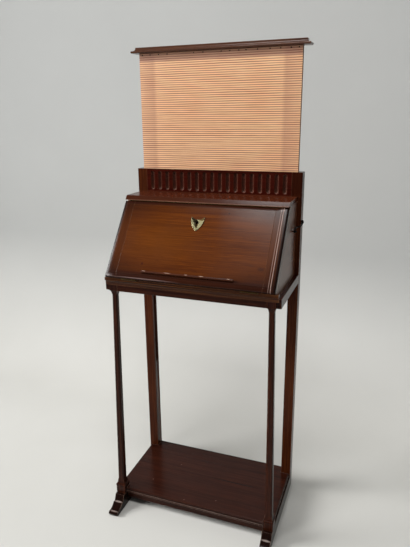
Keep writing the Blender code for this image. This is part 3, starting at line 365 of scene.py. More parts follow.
def wood(finish, axis, lean=0.0, marks=()):
    """Planed timber under an old hand polish. Straight grain in bands of unlike brown, short dark pores, duller
    patches in the polish, paler arrises that are partly wear and partly painted highlight, and a darkening in the
    hollows that is partly dirt and partly painted shade (in the frieze's flutes a pale tone, which is painted
    highlight). Pores are drawn wider than life, so that they show."""
    name = f"{finish}_{axis.lower()}"
    if name in bpy.data.materials:
        return bpy.data.materials[name]
    dark, ground, light, arris_tone, hollow_tone, roughness, gloss, wear, hollow_share = WOODS[finish]
    made, tree, shader = blank(name)
    place = put(tree, "ShaderNodeTexCoord").outputs["Object"]
    turned = place
    if lean:
        turned = put(tree, "ShaderNodeMapping", {"Vector": place, "Rotation": (lean, 0, 0)}).outputs[0]
    noises = {}
    for layer, (along, across, detail) in GRAIN_LAYERS.items():
        spread = put(tree, "ShaderNodeMapping", {"Vector": turned, "Scale": stretch(axis, along, across)})
        noise = put(tree, "ShaderNodeTexNoise", {
            "Vector": spread.outputs[0], "Scale": 1.0, "Detail": detail, "Distortion": GRAIN_WAVER})
        noises[layer] = noise.outputs["Fac"]
    patches = put(tree, "ShaderNodeTexNoise", {
        "Vector": place, "Scale": 1000 / POLISH_PATCH_MM, "Detail": 2.0})
    noises["patches"] = patches.outputs["Fac"]

    colour = linear(dark)
    for layer, start, full, least, most, tone in (
            ("bands", 0.30, 0.62, 0.25, 1.0, ground),
            ("streaks", 0.44, 0.68, 0.0, 0.75, light),
            ("patches", 0.30, 0.70, 0.0, 0.35, dark),
            ("pores", 0.54, 0.70, 0.0, 0.60, dark)):
        cover = put(tree, "ShaderNodeMapRange", {
            "Value": noises[layer], "From Min": start, "From Max": full, "To Min": least, "To Max": most})
        colour = put(tree, "ShaderNodeMix", {
            0: cover.outputs[0], 6: colour, 7: linear(tone)}, data_type="RGBA").outputs[2]
    colour = stain(tree, place, colour, noises["streaks"], marks)

    # Tone in the hollows by occlusion: partly dirt, partly painted shade; in the frieze it is pale and paints
    # light on the flutes' walls
    outside = put(tree, "ShaderNodeAmbientOcclusion", {"Distance": HOLLOW_REACH}, only_local=True, samples=6)
    hollow_dirt_and_shade = put(tree, "ShaderNodeMapRange", {
        "Value": outside.outputs["AO"], "From Min": 0.78, "From Max": 0.2, "To Max": hollow_share})
    colour = put(tree, "ShaderNodeMix", {
        0: hollow_dirt_and_shade.outputs[0], 6: colour, 7: linear(hollow_tone)}, data_type="RGBA").outputs[2]
    # Paler arrises: partly wear, partly a painted highlight where rounded edges catch the light; its share (wear)
    # carries both
    inside = put(tree, "ShaderNodeAmbientOcclusion", {"Distance": ARRIS_LIGHT_REACH},
                 inside=True, only_local=True, samples=6)
    arris = put(tree, "ShaderNodeMapRange", {
        "Value": inside.outputs["AO"], "From Min": 0.85, "From Max": 0.5, "To Max": wear})
    uneven = put(tree, "ShaderNodeMapRange", {
        "Value": noises["bands"], "From Min": 0.35, "From Max": 0.60, "To Min": 0.35})
    arris_wear_and_highlight = put(tree, "ShaderNodeMath", {0: arris.outputs[0], 1: uneven.outputs[0]}, operation="MULTIPLY")
    colour = put(tree, "ShaderNodeMix", {
        0: arris_wear_and_highlight.outputs[0], 6: colour, 7: linear(arris_tone)}, data_type="RGBA").outputs[2]
    tree.links.new(colour, shader.inputs["Base Color"])

    dull = put(tree, "ShaderNodeMapRange", {
        "Value": noises["patches"], "From Min": 0.3, "From Max": 0.7,
        "To Min": roughness - 0.04, "To Max": roughness + 0.05})
    tree.links.new(dull.outputs[0], shader.inputs["Roughness"])
    bump = put(tree, "ShaderNodeBump", {
        "Height": noises["pores"], "Strength": 0.12, "Distance": PORE_RELIEF})
    tree.links.new(bump.outputs[0], shader.inputs["Normal"])
    shader.inputs["IOR"].default_value = POLISH_IOR
    shader.inputs["Specular IOR Level"].default_value = gloss
    return made


def ribbed_silk(ribs):
    """Horizontally ribbed silk, faded by light: peach ribs with a fine sheen and thin red-brown lines in the
    hollows between them, paler in patches, with painted shade where the frame lies behind it and under the cap."""
    made, tree, shader = blank("faded_ribbed_silk")
    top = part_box("front_silk")[1].z
    stile_low, stile_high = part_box("right_screen_stile")
    uv = put(tree, "ShaderNodeTexCoord").outputs["UV"]
    place = put(tree, "ShaderNodeTexCoord").outputs["Object"]
    apart = put(tree, "ShaderNodeSeparateXYZ", {0: place})
    spread = put(tree, "ShaderNodeMapping", {"Vector": place, "Scale": stretch("X", *THREAD_MM)})
    thread = put(tree, "ShaderNodeTexNoise", {
        "Vector": spread.outputs[0], "Scale": 1.0, "Detail": 2.0}).outputs[0]
    lengthwise = put(tree, "ShaderNodeMapping", {"Vector": place, "Scale": stretch("X", *SLUB_MM)})
    slubs = put(tree, "ShaderNodeTexNoise", {"Vector": lengthwise.outputs[0], "Scale": 1.0}).outputs[0]
    fade = put(tree, "ShaderNodeTexNoise", {
        "Vector": place, "Scale": 1000 / FADE_MM, "Detail": 2.0}).outputs[0]

    colour = put(tree, "ShaderNodeMix", {
        0: fade, 6: linear("ebb083"), 7: linear("f3c89a")}, data_type="RGBA").outputs[2]
    woven = put(tree, "ShaderNodeMapRange", {
        "Value": thread, "From Min": 0.4, "From Max": 0.7, "To Max": 0.35})
    colour = put(tree, "ShaderNodeMix", {
        0: woven.outputs[0], 6: colour, 7: linear("c98a60")}, data_type="RGBA").outputs[2]

    # Painted shade of the stiles behind the silk, strongest at their inner edges
    across = put(tree, "ShaderNodeMath", {0: apart.outputs["X"]}, operation="ABSOLUTE").outputs[0]
    band = put(tree, "ShaderNodeMapRange", {
        "Value": across, "From Min": stile_low.x - STILE_SHADE_OUT,
        "From Max": stile_low.x + STILE_SHADE_IN})
    stile_shade_fade = put(tree, "ShaderNodeMapRange", {
        "Value": across, "From Min": stile_low.x, "From Max": stile_high.x, "To Min": 0.42, "To Max": 0.10})
    behind = put(tree, "ShaderNodeMath", {0: band.outputs[0], 1: stile_shade_fade.outputs[0]}, operation="MULTIPLY")
    colour = put(tree, "ShaderNodeMix", {
        0: behind.outputs[0], 6: colour, 7: linear("a8705a")}, data_type="RGBA").outputs[2]
    # Painted shade under the cap
    shade_below = put(tree, "ShaderNodeMapRange", {
        "Value": apart.outputs["Z"], "From Min": top - TOP_SHADE_START, "From Max": top - TOP_SHADE_FULL,
        "To Max": 0.6})
    colour = put(tree, "ShaderNodeMix", {
        0: shade_below.outputs[0], 6: colour, 7: linear("a87868")}, data_type="RGBA").outputs[2]

    up = put(tree, "ShaderNodeSeparateXYZ", {0: uv}).outputs["Y"]
    rib = put(tree, "ShaderNodeMath", {0: up, 1: ribs}, operation="MULTIPLY")
    phase = put(tree, "ShaderNodeMath", {0: rib.outputs[0], 1: 0.5}, operation="PINGPONG")
    line = put(tree, "ShaderNodeMapRange", {"Value": phase.outputs[0], "From Min": 0.24, "From Max": 0.10})
    strength = put(tree, "ShaderNodeMapRange", {
        "Value": slubs, "From Min": 0.3, "From Max": 0.7, "To Min": 0.6, "To Max": 1.0})
    drawn = put(tree, "ShaderNodeMath", {0: line.outputs[0], 1: strength.outputs[0]}, operation="MULTIPLY")
    colour = put(tree, "ShaderNodeMix", {
        0: drawn.outputs[0], 6: colour, 7: linear("6e3020")}, data_type="RGBA").outputs[2]
    tree.links.new(colour, shader.inputs["Base Color"])

    bump = put(tree, "ShaderNodeBump", {"Height": thread, "Strength": 0.25, "Distance": THREAD_RELIEF})
    tree.links.new(bump.outputs[0], shader.inputs["Normal"])
    shader.inputs["Roughness"].default_value = 0.68
    shader.inputs["Sheen Weight"].default_value = 0.25
    shader.inputs["Sheen Roughness"].default_value = 0.45
    return made


def metal(name, marks=(), metallic=1.0):
    """Old hand-worked metal: a rubbed ground with cloudy tarnish that gathers in the hollows."""
    bright, tarnish, roughness, patch_mm, cover = METALS[name]
    made, tree, shader = blank(name)
    place = put(tree, "ShaderNodeTexCoord").outputs["Object"]
    cloud = put(tree, "ShaderNodeTexNoise", {
        "Vector": place, "Scale": 1000 / patch_mm, "Detail": 4.0, "Roughness": 0.65}).outputs[0]
    hollow = put(tree, "ShaderNodeAmbientOcclusion", {"Distance": METAL_HOLLOW_REACH},
                 only_local=True, samples=6)
    closed = put(tree, "ShaderNodeMapRange", {
        "Value": hollow.outputs["AO"], "From Min": 0.95, "From Max": 0.4, "To Max": 0.6})
    clouded = put(tree, "ShaderNodeMapRange", {
        "Value": cloud, "From Min": 0.62 - cover, "From Max": 0.86 - cover})
    both = put(tree, "ShaderNodeMath", {0: clouded.outputs[0], 1: closed.outputs[0]}, operation="MAXIMUM")
    colour = put(tree, "ShaderNodeMix", {
        0: both.outputs[0], 6: linear(bright), 7: linear(tarnish)}, data_type="RGBA").outputs[2]
    colour = stain(tree, place, colour, cloud, marks)
    tree.links.new(colour, shader.inputs["Base Color"])
    dull = put(tree, "ShaderNodeMapRange", {
        "Value": both.outputs[0], "To Min": roughness - 0.08, "To Max": roughness + 0.2})
    tree.links.new(dull.outputs[0], shader.inputs["Roughness"])
    bump = put(tree, "ShaderNodeBump", {"Height": cloud, "Strength": 0.2, "Distance": METAL_PITTING})
    tree.links.new(bump.outputs[0], shader.inputs["Normal"])
    shader.inputs["Metallic"].default_value = metallic
    return made


def studio_paint():
    """Plain matt paint, a lighter floor under a greyer wall. It is clear from behind, so that the desk shows
    from all round."""
    made, tree, shader = blank("matt_studio_paint")
    place = put(tree, "ShaderNodeTexCoord").outputs["Object"]
    mottle = put(tree, "ShaderNodeTexNoise", {
        "Vector": place, "Scale": 1000 / PAINT_MOTTLE_MM, "Detail": 3.0}).outputs[0]
    floor = put(tree, "ShaderNodeMix", {
        0: mottle, 6: linear("cac9c3"), 7: linear("d4d3ce")}, data_type="RGBA").outputs[2]
    wall = put(tree, "ShaderNodeMix", {
        0: mottle, 6: linear("b2b3b1"), 7: linear("babbb9")}, data_type="RGBA").outputs[2]
    height = put(tree, "ShaderNodeSeparateXYZ", {0: place}).outputs["Z"]
    rise = put(tree, "ShaderNodeMapRange", {"Value": height, "From Max": WALL_SWEEP})
    colour = put(tree, "ShaderNodeMix", {
        0: rise.outputs[0], 6: floor, 7: wall}, data_type="RGBA").outputs[2]
    tree.links.new(colour, shader.inputs["Base Color"])
    shader.inputs["Roughness"].default_value = 0.85
    clear = put(tree, "ShaderNodeBsdfTransparent")
    behind = put(tree, "ShaderNodeNewGeometry").outputs["Backfacing"]
    mixed = put(tree, "ShaderNodeMixShader", {0: behind, 1: shader.outputs[0], 2: clear.outputs[0]})
    tree.links.new(mixed.outputs[0], tree.nodes["Material Output"].inputs["Surface"])
    return made


# Modelling by hand

def only(piece):
    """Make one piece the only selected and the active one."""
    bpy.ops.object.select_all(action="DESELECT")
    piece.select_set(True)
    bpy.context.view_layer.objects.active = piece


def settle(piece):
    """Move a piece's place, turn and scale into its mesh."""
    only(piece)
    bpy.ops.object.transform_apply(location=True, rotation=True, scale=True)
    return piece


def apply(piece, kind, **settings):
    """Add a modifier and apply it."""
    only(piece)
    change = piece.modifiers.new(kind.lower(), kind)
    for name, value in settings.items():
        setattr(change, name, value)
    bpy.ops.object.modifier_apply(modifier=change.name)
    return piece


def cut(piece, tool):
    """Cut a tool's shape out of a piece. The tool is used up."""
    apply(piece, "BOOLEAN", object=tool, operation="DIFFERENCE", solver="EXACT")
    bpy.data.objects.remove(tool)


def ease(piece, radius, steps):
    """Round the sharp arrises of a piece."""
    apply(piece, "BEVEL", width=radius, segments=steps, limit_method="ANGLE", angle_limit=ARRIS_ANGLE)


def copy_of(model, name, placing=Matrix.Identity(4)):
    """A copy of a piece with a mesh of its own, put somewhere else."""
    piece = bpy.data.objects.new(name, model.data.copy())
    bpy.context.scene.collection.objects.link(piece)
    piece.matrix_world = placing
    return piece


def row_of(model, name, placings):
    """Copies of a small piece joined into one row. The model itself is used up."""
    copies = [copy_of(model, name, placing) for placing in placings]
    bpy.data.objects.remove(model)
    only(copies[0])
    for piece in copies[1:]:
        piece.select_set(True)
    bpy.ops.object.join()
    row = settle(bpy.context.object)
    row.name = name
    return row


def smooth(piece):
    """Shade round forms smooth and keep broad faces flat."""
    only(piece)
    bpy.ops.object.shade_smooth_by_angle(angle=SMOOTH_ANGLE)
    return apply(piece, "WEIGHTED_NORMAL", keep_sharp=True)


def finish_with(piece, finish, body):
    """Give a piece its finish and the body that it rides on."""
    piece.data.materials.clear()
    piece.data.materials.append(finish)
    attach(piece, body)
    return piece


def worn(node, finish, radius=0.0):
    """A solid taken over as whole faces, its arrises rounded by wear where they were sharp."""
    piece = copy_of(frame["nodes"][node], f"worn_{node}")
    only(piece)
    bpy.ops.object.mode_set(mode="EDIT")
    bpy.ops.mesh.select_all(action="SELECT")
    bpy.ops.mesh.customdata_custom_splitnormals_clear()
    bpy.ops.mesh.remove_doubles(threshold=MERGE_REACH)
    bpy.ops.mesh.dissolve_limited(angle_limit=FLAT_ANGLE)
    bpy.ops.object.mode_set(mode="OBJECT")
    if radius:
        ease(piece, radius, ARRIS_STEPS)
        apply(piece, "WELD", merge_threshold=WELD_REACH)
    smooth(piece)
    finish_with(piece, finish, BODIES[node])
    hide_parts(node)
    return piece


# Woodwork

def fall_marks(rows):
    """Marks on the outer face of the closed fall."""
    return [(on_fall(x, along), (across, depth, up), *look) for x, along, across, depth, up, *look in rows]


def clamp_marks():
    """Painted shade on the clamps' outer edges, and painted highlights as pale lines beside the right moulding."""
    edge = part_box("right_fall_clamp")[1].x
    marks = fall_marks(FALL_EDGE_SHADE_AND_HIGHLIGHT)
    for side in (-1, 1):
        outer = on_fall(side * edge, FALL_MIDDLE)
        marks.append((outer, (CLAMP_EDGE_SHADE, MARK_DEPTH, ALL_ALONG), "180a06", 0.92, 1.0, 0.55))
    for inset, half, strength in CLAMP_HIGHLIGHT_LINES:
        line = on_fall(edge - inset, FALL_MIDDLE)
        marks.append((line, (half, MARK_DEPTH, ALL_ALONG), "b4968a", strength, 1.0, 0.5))
    return marks


def side_marks():
    """A pale strip of painted reflection along the slope of each box side, with a dark quirk of painted shade
    behind it.
    """
    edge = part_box("right_box_side")[1].x
    marks = []
    for side in (-1, 1):
        for back, half, tone, strength, full in SIDE_REFLECTION_AND_SHADE_STRIPS:
            strip = on_fall(side * edge, FALL_MIDDLE, -back)
            marks.append((strip, (SIDE_STRIP_DEPTH, half, ALL_ALONG), tone, strength, 1.0, full))
    return marks


def sill_marks():
    """Painted shade under the fascia of the sill."""
    low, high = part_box("front_sill")
    shade_below = Vector((0, low.y, high.z - SILL_SHADE_DROP))
    return [(shade_below, (ALL_ACROSS, SILL_SHADE_HALF, SILL_SHADE_HALF), "080302", 0.9, 1.0, 0.6)]


def top_marks():
    """A darker tone on the sloping front edge of the box top."""
    edge = on_fall(0, FALL_TOP + TOP_EDGE_RISE)
    return [(edge, (ALL_ACROSS, TOP_EDGE_DEPTH, TOP_EDGE_HALF), "381a0e", 0.75, 1.0, 0.8)]


def ledge_marks():
    """Pale chips along the upper arris of the ledge."""
    high = slope_range("book_ledge")[1]
    marks = []
    for x, half in LEDGE_CHIPS:
        chip = on_fall(x, high.y, high.z)
        marks.append((chip, (half, CHIP_HALF, CHIP_HALF), "d0b09a", 0.9, 1.0, 0.5))
    return marks


def foot_marks():
    """Painted highlights on the treads and toes of the runners."""
    marks = []
    for side in ("left", "right"):
        low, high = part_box(f"{side}_runner_foot")
        for back, height, half, tone, strength, full in FOOT_HIGHLIGHTS:
            highlight = Vector(((low.x + high.x) / 2, low.y + back, height))
            marks.append((highlight, (FOOT_HIGHLIGHT_ACROSS, half, half), tone, strength, 1.0, full))
    return marks


def post_marks():
    """Dark red on the tops of the posts, beside the frieze; stronger on the right post as painted shade."""
    marks = []
    for side, strength in POST_TOP_TONE_AND_SHADE.items():
        low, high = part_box(f"{side}_rear_post")
        head = Vector(((low.x + high.x) / 2, low.y, high.z - POST_TOP_DROP))
        marks.append((head, POST_TOP_HALF, "220703", strength, 1.0, 0.6))
    return marks


def shelf_marks():
    """A dark shrunk joint and a few pale specks on the shelf."""
    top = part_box("bottom_shelf")[1].z
    marks = [(Vector((*SHELF_JOINT, top)), SHELF_JOINT_HALF, "120705", 0.8, 1.0, 0.4)]
    for x, y in SHELF_SPECKS:
        marks.append((Vector((x, y, top)), (SPECK_HALF, SPECK_HALF, SPECK_HALF), "b08a74", 0.8, 1.0, 0.4))
    return marks


def lengthen_groove(post, node):
    """Run the screen's groove on down a post, a hair inside the walls of the groove above it."""
    low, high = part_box(node)
    foot = [corner.co for corner in frame["nodes"][node].data.vertices
            if low.z + POST_END < corner.co.z < high.z - POST_END]
    start = Vector(map(min, *foot)) + Vector((GROOVE_EASE, GROOVE_EASE, 0))
    end = Vector(map(max, *foot)) - Vector((GROOVE_EASE, GROOVE_EASE, 0))
    if low.x < 0:
        end.x += GROOVE_OPENING
    else:
        start.x -= GROOVE_OPENING
    start.z = GROOVE_END
    end.z += GROOVE_OPENING
    bpy.ops.object.select_all(action="DESELECT")
    bpy.ops.mesh.primitive_cube_add(size=1, location=(start + end) / 2, scale=end - start)
    cut(post, settle(bpy.context.object))
    smooth(post)


def dress_woodwork():
    """Every wooden piece, with the way its grain runs and how round its arrises are worn."""
    for side in ("left", "right"):
        worn(f"{side}_runner_foot", wood("foot_mahogany", "Y", marks=foot_marks()))
        worn(f"{side}_front_column", wood("frame_mahogany", "Z"), EASED_ARRIS)
        post = worn(f"{side}_rear_post", wood("post_mahogany", "Z", marks=post_marks()))
        lengthen_groove(post, f"{side}_rear_post")
        worn(f"{side}_side_rail", wood("frame_mahogany", "Y"))
        worn(f"{side}_box_side", wood("side_mahogany", "Y", marks=side_marks()), EASED_ARRIS)
        worn(f"{side}_fall_clamp", wood("clamp_mahogany", "Z", LEAN, clamp_marks()), CRISP_ARRIS)
    for node in ("front_rail", "rear_rail", "shelf_apron"):
        worn(node, wood("frame_mahogany", "X"))
    worn("box_back", wood("frame_mahogany", "X"), EASED_ARRIS)
    worn("screen_cap", wood("cap_mahogany", "X"), EASED_ARRIS)
    worn("front_sill", wood("sill_mahogany", "X", marks=sill_marks()), SOFT_ARRIS)
    worn("box_top", wood("top_mahogany", "X", marks=top_marks()))
    worn("bottom_shelf", wood("shelf_mahogany", "X", marks=shelf_marks()), SOFT_ARRIS)
    worn("fall_panel", wood("fall_mahogany", "X", marks=fall_marks(FALL_EDGE_SHADE_AND_HIGHLIGHT + BOARD_MARKS)), CRISP_ARRIS)
    worn("book_ledge", wood("ledge_mahogany", "X", marks=ledge_marks()))

    pine = {
        "X": ("box_floor", "lock_rail", "letter_shelf", "screen_top_rail", "screen_bottom_rail"),
        "Y": ("left_pigeonhole_divider", "right_pigeonhole_divider"),
        "Z": ("left_screen_stile", "right_screen_stile"),
    }
    for axis, nodes in pine.items():
        for node in nodes:
            worn(node, wood("plain_pine", axis), EASED_ARRIS)


def flute_gouge(radius, reach):
    """The shape that a gouge takes out for one flute: a rod of some reach each way, with round ends."""
    bpy.ops.object.select_all(action="DESELECT")
    bpy.ops.mesh.primitive_uv_sphere_add(segments=GOUGE_SIDES, ring_count=GOUGE_RINGS, radius=radius)
    gouge = bpy.context.object
    bpy.ops.object.mode_set(mode="EDIT")
    bpy.ops.mesh.select_all(action="SELECT")
    bpy.ops.mesh.bisect(plane_co=(0, 0, 0), plane_no=(0, 0, 1), clear_inner=True)
    bpy.ops.mesh.select_all(action="SELECT")
    bpy.ops.transform.translate(value=(0, 0, reach))
    bpy.ops.mesh.select_all(action="DESELECT")
    bpy.ops.mesh.select_non_manifold()
    bpy.ops.mesh.extrude_region_move(TRANSFORM_OT_translate={"value": (0, 0, -reach)})
    bpy.ops.object.mode_set(mode="OBJECT")
    return apply(gouge, "MIRROR", use_axis=(False, False, True))


def flute_frieze():
    """The front board above the box, worked with a gouge into a row of round-ended flutes."""
    low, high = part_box("fluted_frieze")
    bpy.ops.object.select_all(action="DESELECT")
    bpy.ops.mesh.primitive_cube_add(size=1, location=(low + high) / 2, scale=high - low)
    board = settle(bpy.context.object)
    board.name = "gouged_frieze"

    radius = (FLUTE_WIDTH ** 2 / 4 + FLUTE_DEPTH ** 2) / (2 * FLUTE_DEPTH)
    bottom = low.z + FLUTE_MARGIN_BOTTOM + FLUTE_WIDTH / 2
    top = high.z - FLUTE_MARGIN_TOP - FLUTE_WIDTH / 2
    first = low.x + FLUTE_END_MARGIN + FLUTE_WIDTH / 2
    pitch = -2 * first / (FLUTE_COUNT - 1)
    depth = low.y + FLUTE_DEPTH - radius
    places = [(first + pitch * i, depth, (top + bottom) / 2) for i in range(FLUTE_COUNT)]
    gouge = flute_gouge(radius, (top - bottom) / 2)
    cut(board, row_of(gouge, "gouges", [Matrix.Translation(place) for place in places]))
    ease(board, FLUTE_ARRIS, FINE_ARRIS_STEPS)
    smooth(board)
    finish_with(board, wood("frieze_mahogany", "X"), "desk")
    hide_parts("fluted_frieze")


# Metalwork

def shield_marks():
    """Black patches round the keyhole and in the left wing of its shield, browner in the right wing."""
    low, high = slope_range("keyhole_escutcheon")
    middle = (low.x + high.x) / 2
    marks = []
    for aside, below, across, up, tone in SHIELD_DARK_PATCHES:
        spot = on_fall(middle + aside, high.y - below, high.z)
        marks.append((spot, (across, SHIELD_PATCH_DEPTH, up), tone, 0.92, 1.0, 0.75))
    return marks


def dress_metalwork():
    """Shield, lock, hinges, hook and screws, with their arrises eased."""
    worn("keyhole_escutcheon", metal("rubbed_pale_brass", shield_marks()), PLATE_ARRIS)
    brass = metal("aged_sheet_brass")
    worn("lock_case", brass, PLATE_ARRIS)
    worn("lock_bolt", brass, CRISP_ARRIS)
    for side in ("left", "right"):
        worn(f"{side}_hinge_sill_leaf", brass, PIN_ARRIS)
        worn(f"{side}_hinge_fall_leaf", brass)
        worn(f"{side}_hinge_pin", brass, PIN_ARRIS)
    iron = metal("blacked_iron")
    for node in ("side_hook", "hook_eye"):
        worn(node, iron)
    worn("hook_stud", iron, PIN_ARRIS)
    drive_screws(metal("rubbed_screw_brass"))


def screw_head():
    """One countersunk head with a sawn slot, its top at the origin."""
    bpy.ops.object.select_all(action="DESELECT")
    bpy.ops.mesh.primitive_cylinder_add(vertices=SCREW_SIDES, radius=SCREW_RADIUS, depth=SCREW_DEPTH)
    head = bpy.context.object
    head.location = (0, 0, -SCREW_DEPTH / 2)
    settle(head)
    bpy.ops.object.select_all(action="DESELECT")
    bpy.ops.mesh.primitive_cube_add(size=1, scale=(3 * SCREW_RADIUS, SCREW_SLOT, SCREW_DEPTH))
    cut(head, settle(bpy.context.object))
    ease(head, SCREW_ARRIS, FINE_ARRIS_STEPS)
    return smooth(head)


def drive_screws(finish):
    """Three screws in each hinge leaf and four in the lock, their slots left at odd angles."""
    sill_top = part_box("front_sill")[1].z
    fall_turn = Matrix.Rotation(3 * math.pi / 2 - LEAN, 4, "X")
    sill_places = []
    fall_places = []
    for side in ("left", "right"):
        low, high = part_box(f"{side}_hinge_fall_leaf")
        for step in (-1, 0, 1):
            x = (low.x + high.x) / 2 + step * SCREW_SPACING
            sill_places.append(Vector((x, FALL_AXIS.y + SCREW_SILL_SETBACK, sill_top + SCREW_PROUD)))
            fall_places.append(on_fall(x, SCREW_FALL_RISE, -SCREW_PROUD))
    low, high = slope_range("lock_case")
    for x in (low.x + LOCK_SCREW_INSET, high.x - LOCK_SCREW_INSET):
        for along in (low.y + LOCK_SCREW_INSET, high.y - LOCK_SCREW_INSET):
            fall_places.append(on_fall(x, along, -SCREW_PROUD))
    rows = (("sill_hinge_screws", "desk", sill_places, Matrix.Identity(4)),
            ("fall_screws", "fall", fall_places, fall_turn))
    for name, body, places, turn in rows:
        placings = []
        for i, place in enumerate(places):
            placings.append(Matrix.Translation(place) @ turn @ Matrix.Rotation(i * SCREW_TURN, 4, "Z"))
        row = row_of(screw_head(), name, placings)
        finish_with(row, finish, body)


# Screen

def rib_wander(x, share):
    """How far a rib strays from level, at a place across and a share of the silk's height."""
    fade = min(1, min(share, 1 - share) / WANDER_FADE)
    waves = [math.sin(across * x + up * share) for across, up in WANDER_WAVES]
    return fade * RIB_WANDER * math.prod(waves)


def stretched_silk(node, name, facing):
    """Silk strained over one face of the frame: rounded ribs, drawn in a little at each tack."""
    low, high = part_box(node)
    width, height = high.x - low.x, high.z - low.z
    ribs = round(height / RIB_PITCH)
    bpy.ops.object.select_all(action="DESELECT")
    bpy.ops.mesh.primitive_grid_add(x_subdivisions=SILK_COLUMNS, y_subdivisions=ribs * RIB_ROWS, size=1)
    sheet = bpy.context.object
    sheet.name = name
    outer = low.y if facing < 0 else high.y
    tack_line = high.z - TACK_DROP
    for corner in sheet.data.vertices:
        x = -facing * corner.co.x * width
        share = corner.co.y + 0.5
        z = low.z + share * height
        crest = math.sqrt(abs(math.sin(math.pi * share * ribs)))
        depth = RIB_RELIEF * (1 - crest)
        for tack in TACK_PLACES_MM:
            away = ((x - tack / 1000) ** 2 + (z - tack_line) ** 2) / TACK_DIMPLE_REACH ** 2
            depth += TACK_DIMPLE * math.exp(-away)
        corner.co = (x, outer - facing * min(depth, RIB_RELIEF), z + rib_wander(x, share))
    apply(sheet, "SOLIDIFY", thickness=SILK_WALL, offset=-1)
    only(sheet)
    bpy.ops.object.shade_smooth_by_angle(angle=SILK_SMOOTH_ANGLE)
    silk = bpy.data.materials.get("faded_ribbed_silk") or ribbed_silk(ribs)
    finish_with(sheet, silk, "screen")
    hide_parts(node)
    return sheet, (width, height)


def tack_row(node, name, facing, finish):
    """Low-domed tacks that hold the silk along the top of the frame."""
    low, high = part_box(node)
    outer = low.y if facing < 0 else high.y
    bpy.ops.object.select_all(action="DESELECT")
    bpy.ops.mesh.primitive_uv_sphere_add(segments=TACK_SIDES, ring_count=TACK_RINGS, radius=TACK_RADIUS)
    tack = bpy.context.object
    bpy.ops.object.mode_set(mode="EDIT")
    bpy.ops.mesh.select_all(action="SELECT")
    bpy.ops.mesh.bisect(plane_co=(0, 0, 0), plane_no=(0, 0, 1), clear_inner=True, use_fill=True)
    bpy.ops.mesh.select_all(action="SELECT")
    bpy.ops.transform.resize(value=(1, 1, TACK_RISE / TACK_RADIUS), center_override=(0, 0, 0))
    bpy.ops.object.mode_set(mode="OBJECT")
    turn = Matrix.Rotation(facing * -math.pi / 2, 4, "X")
    depth = outer - facing * TACK_SINK
    places = [Vector((place / 1000, depth, high.z - TACK_DROP)) for place in TACK_PLACES_MM]
    row = row_of(tack, name, [Matrix.Translation(place) @ turn for place in places])
    bpy.ops.object.shade_smooth_by_angle(angle=SMOOTH_ANGLE)
    return finish_with(row, finish, "screen")


def cover_screen():
    """Silk on both faces of the screen, each held by its row of tacks."""
    rust = metal("rusted_tack_iron", metallic=0.8)
    for side, facing in (("front", -1), ("back", 1)):
        sheet, flat = stretched_silk(f"{side}_silk", f"{side}_ribbed_silk", facing)
        row = tack_row(f"{side}_silk", f"{side}_tacks", facing, rust)


# Studio

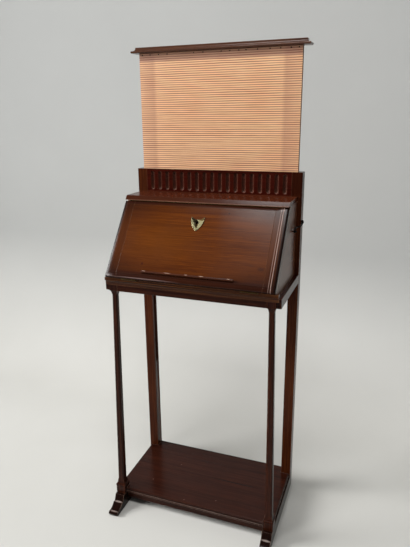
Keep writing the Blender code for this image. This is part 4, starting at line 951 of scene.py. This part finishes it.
def build_studio():
    """A pale floor that sweeps up into a wall behind the desk."""
    bpy.ops.object.select_all(action="DESELECT")
    bpy.ops.mesh.primitive_plane_add(size=2)
    studio = bpy.context.object
    studio.name = "studio_floor"
    studio.scale = (FLOOR_HALF_WIDTH, (WALL_BACK - FLOOR_FRONT) / 2, 1)
    studio.location = (0, (WALL_BACK + FLOOR_FRONT) / 2, 0)
    settle(studio)
    bpy.ops.object.mode_set(mode="EDIT")
    bpy.ops.mesh.select_mode(type="EDGE")
    bpy.ops.mesh.select_all(action="DESELECT")
    bpy.ops.object.mode_set(mode="OBJECT")
    select_rear_foot(studio)
    bpy.ops.object.mode_set(mode="EDIT")
    bpy.ops.mesh.extrude_region_move(TRANSFORM_OT_translate={"value": (0, 0, WALL_HEIGHT)})
    bpy.ops.object.mode_set(mode="OBJECT")
    select_rear_foot(studio)
    bpy.ops.object.mode_set(mode="EDIT")
    bpy.ops.mesh.bevel(offset=WALL_SWEEP, segments=WALL_SWEEP_STEPS)
    bpy.ops.mesh.select_all(action="SELECT")
    bpy.ops.object.mode_set(mode="OBJECT")
    bpy.ops.object.shade_smooth()
    studio.data.materials.append(studio_paint())


def select_rear_foot(studio):
    """Select only the edge where the floor meets the wall."""
    for edge in studio.data.edges:
        ends = [studio.data.vertices[i].co for i in edge.vertices]
        edge.select = all(end.y > WALL_BACK - CORNER_REACH and end.z < CORNER_REACH for end in ends)


def light_studio():
    """A large soft lamp from the left, a smaller one overhead, and an even room light."""
    middle = (cad_low + cad_high) / 2
    for name, (direction, distance, width, depth, spread, watts) in LAMPS.items():
        toward = Vector(direction).normalized()
        across = (Vector((1, 0, 0)) - toward * toward.x).normalized()
        lamp = bpy.data.lights.new(name, "AREA")
        lamp.shape = "RECTANGLE"
        lamp.size = width
        lamp.size_y = depth
        lamp.energy = watts
        lamp.spread = spread
        placed = bpy.data.objects.new(name, lamp)
        bpy.context.scene.collection.objects.link(placed)
        turn = Matrix((across, toward.cross(across), toward)).transposed().to_4x4()
        placed.matrix_world = Matrix.Translation(middle + toward * distance) @ turn
    world = bpy.data.worlds.new("room_light")
    bpy.context.scene.world = world
    world.use_nodes = True
    background = world.node_tree.nodes["Background"]
    background.inputs["Color"].default_value = linear("ffffff")
    background.inputs["Strength"].default_value = WORLD_STRENGTH


def place_camera():
    """The photograph's viewpoint."""
    lens = bpy.data.cameras.new("photo_camera")
    lens.sensor_width = SENSOR_MM
    lens.lens = SENSOR_MM * FOCAL_LENGTH_PX / PHOTO_HEIGHT_PX
    camera = bpy.data.objects.new("photo_camera", lens)
    bpy.context.scene.collection.objects.link(camera)
    turn = Matrix.Rotation(CAMERA_YAW, 4, "Z") @ Matrix.Rotation(math.pi / 2 - CAMERA_TILT, 4, "X")
    camera.matrix_world = Matrix.Translation(CAMERA_PLACE) @ turn @ Matrix.Rotation(CAMERA_ROLL, 4, "Z")
    bpy.context.scene.camera = camera


dress_woodwork()
flute_frieze()
dress_metalwork()
cover_screen()
build_studio()
light_studio()
place_camera()
bpy.context.scene.view_settings.view_transform = "Standard"
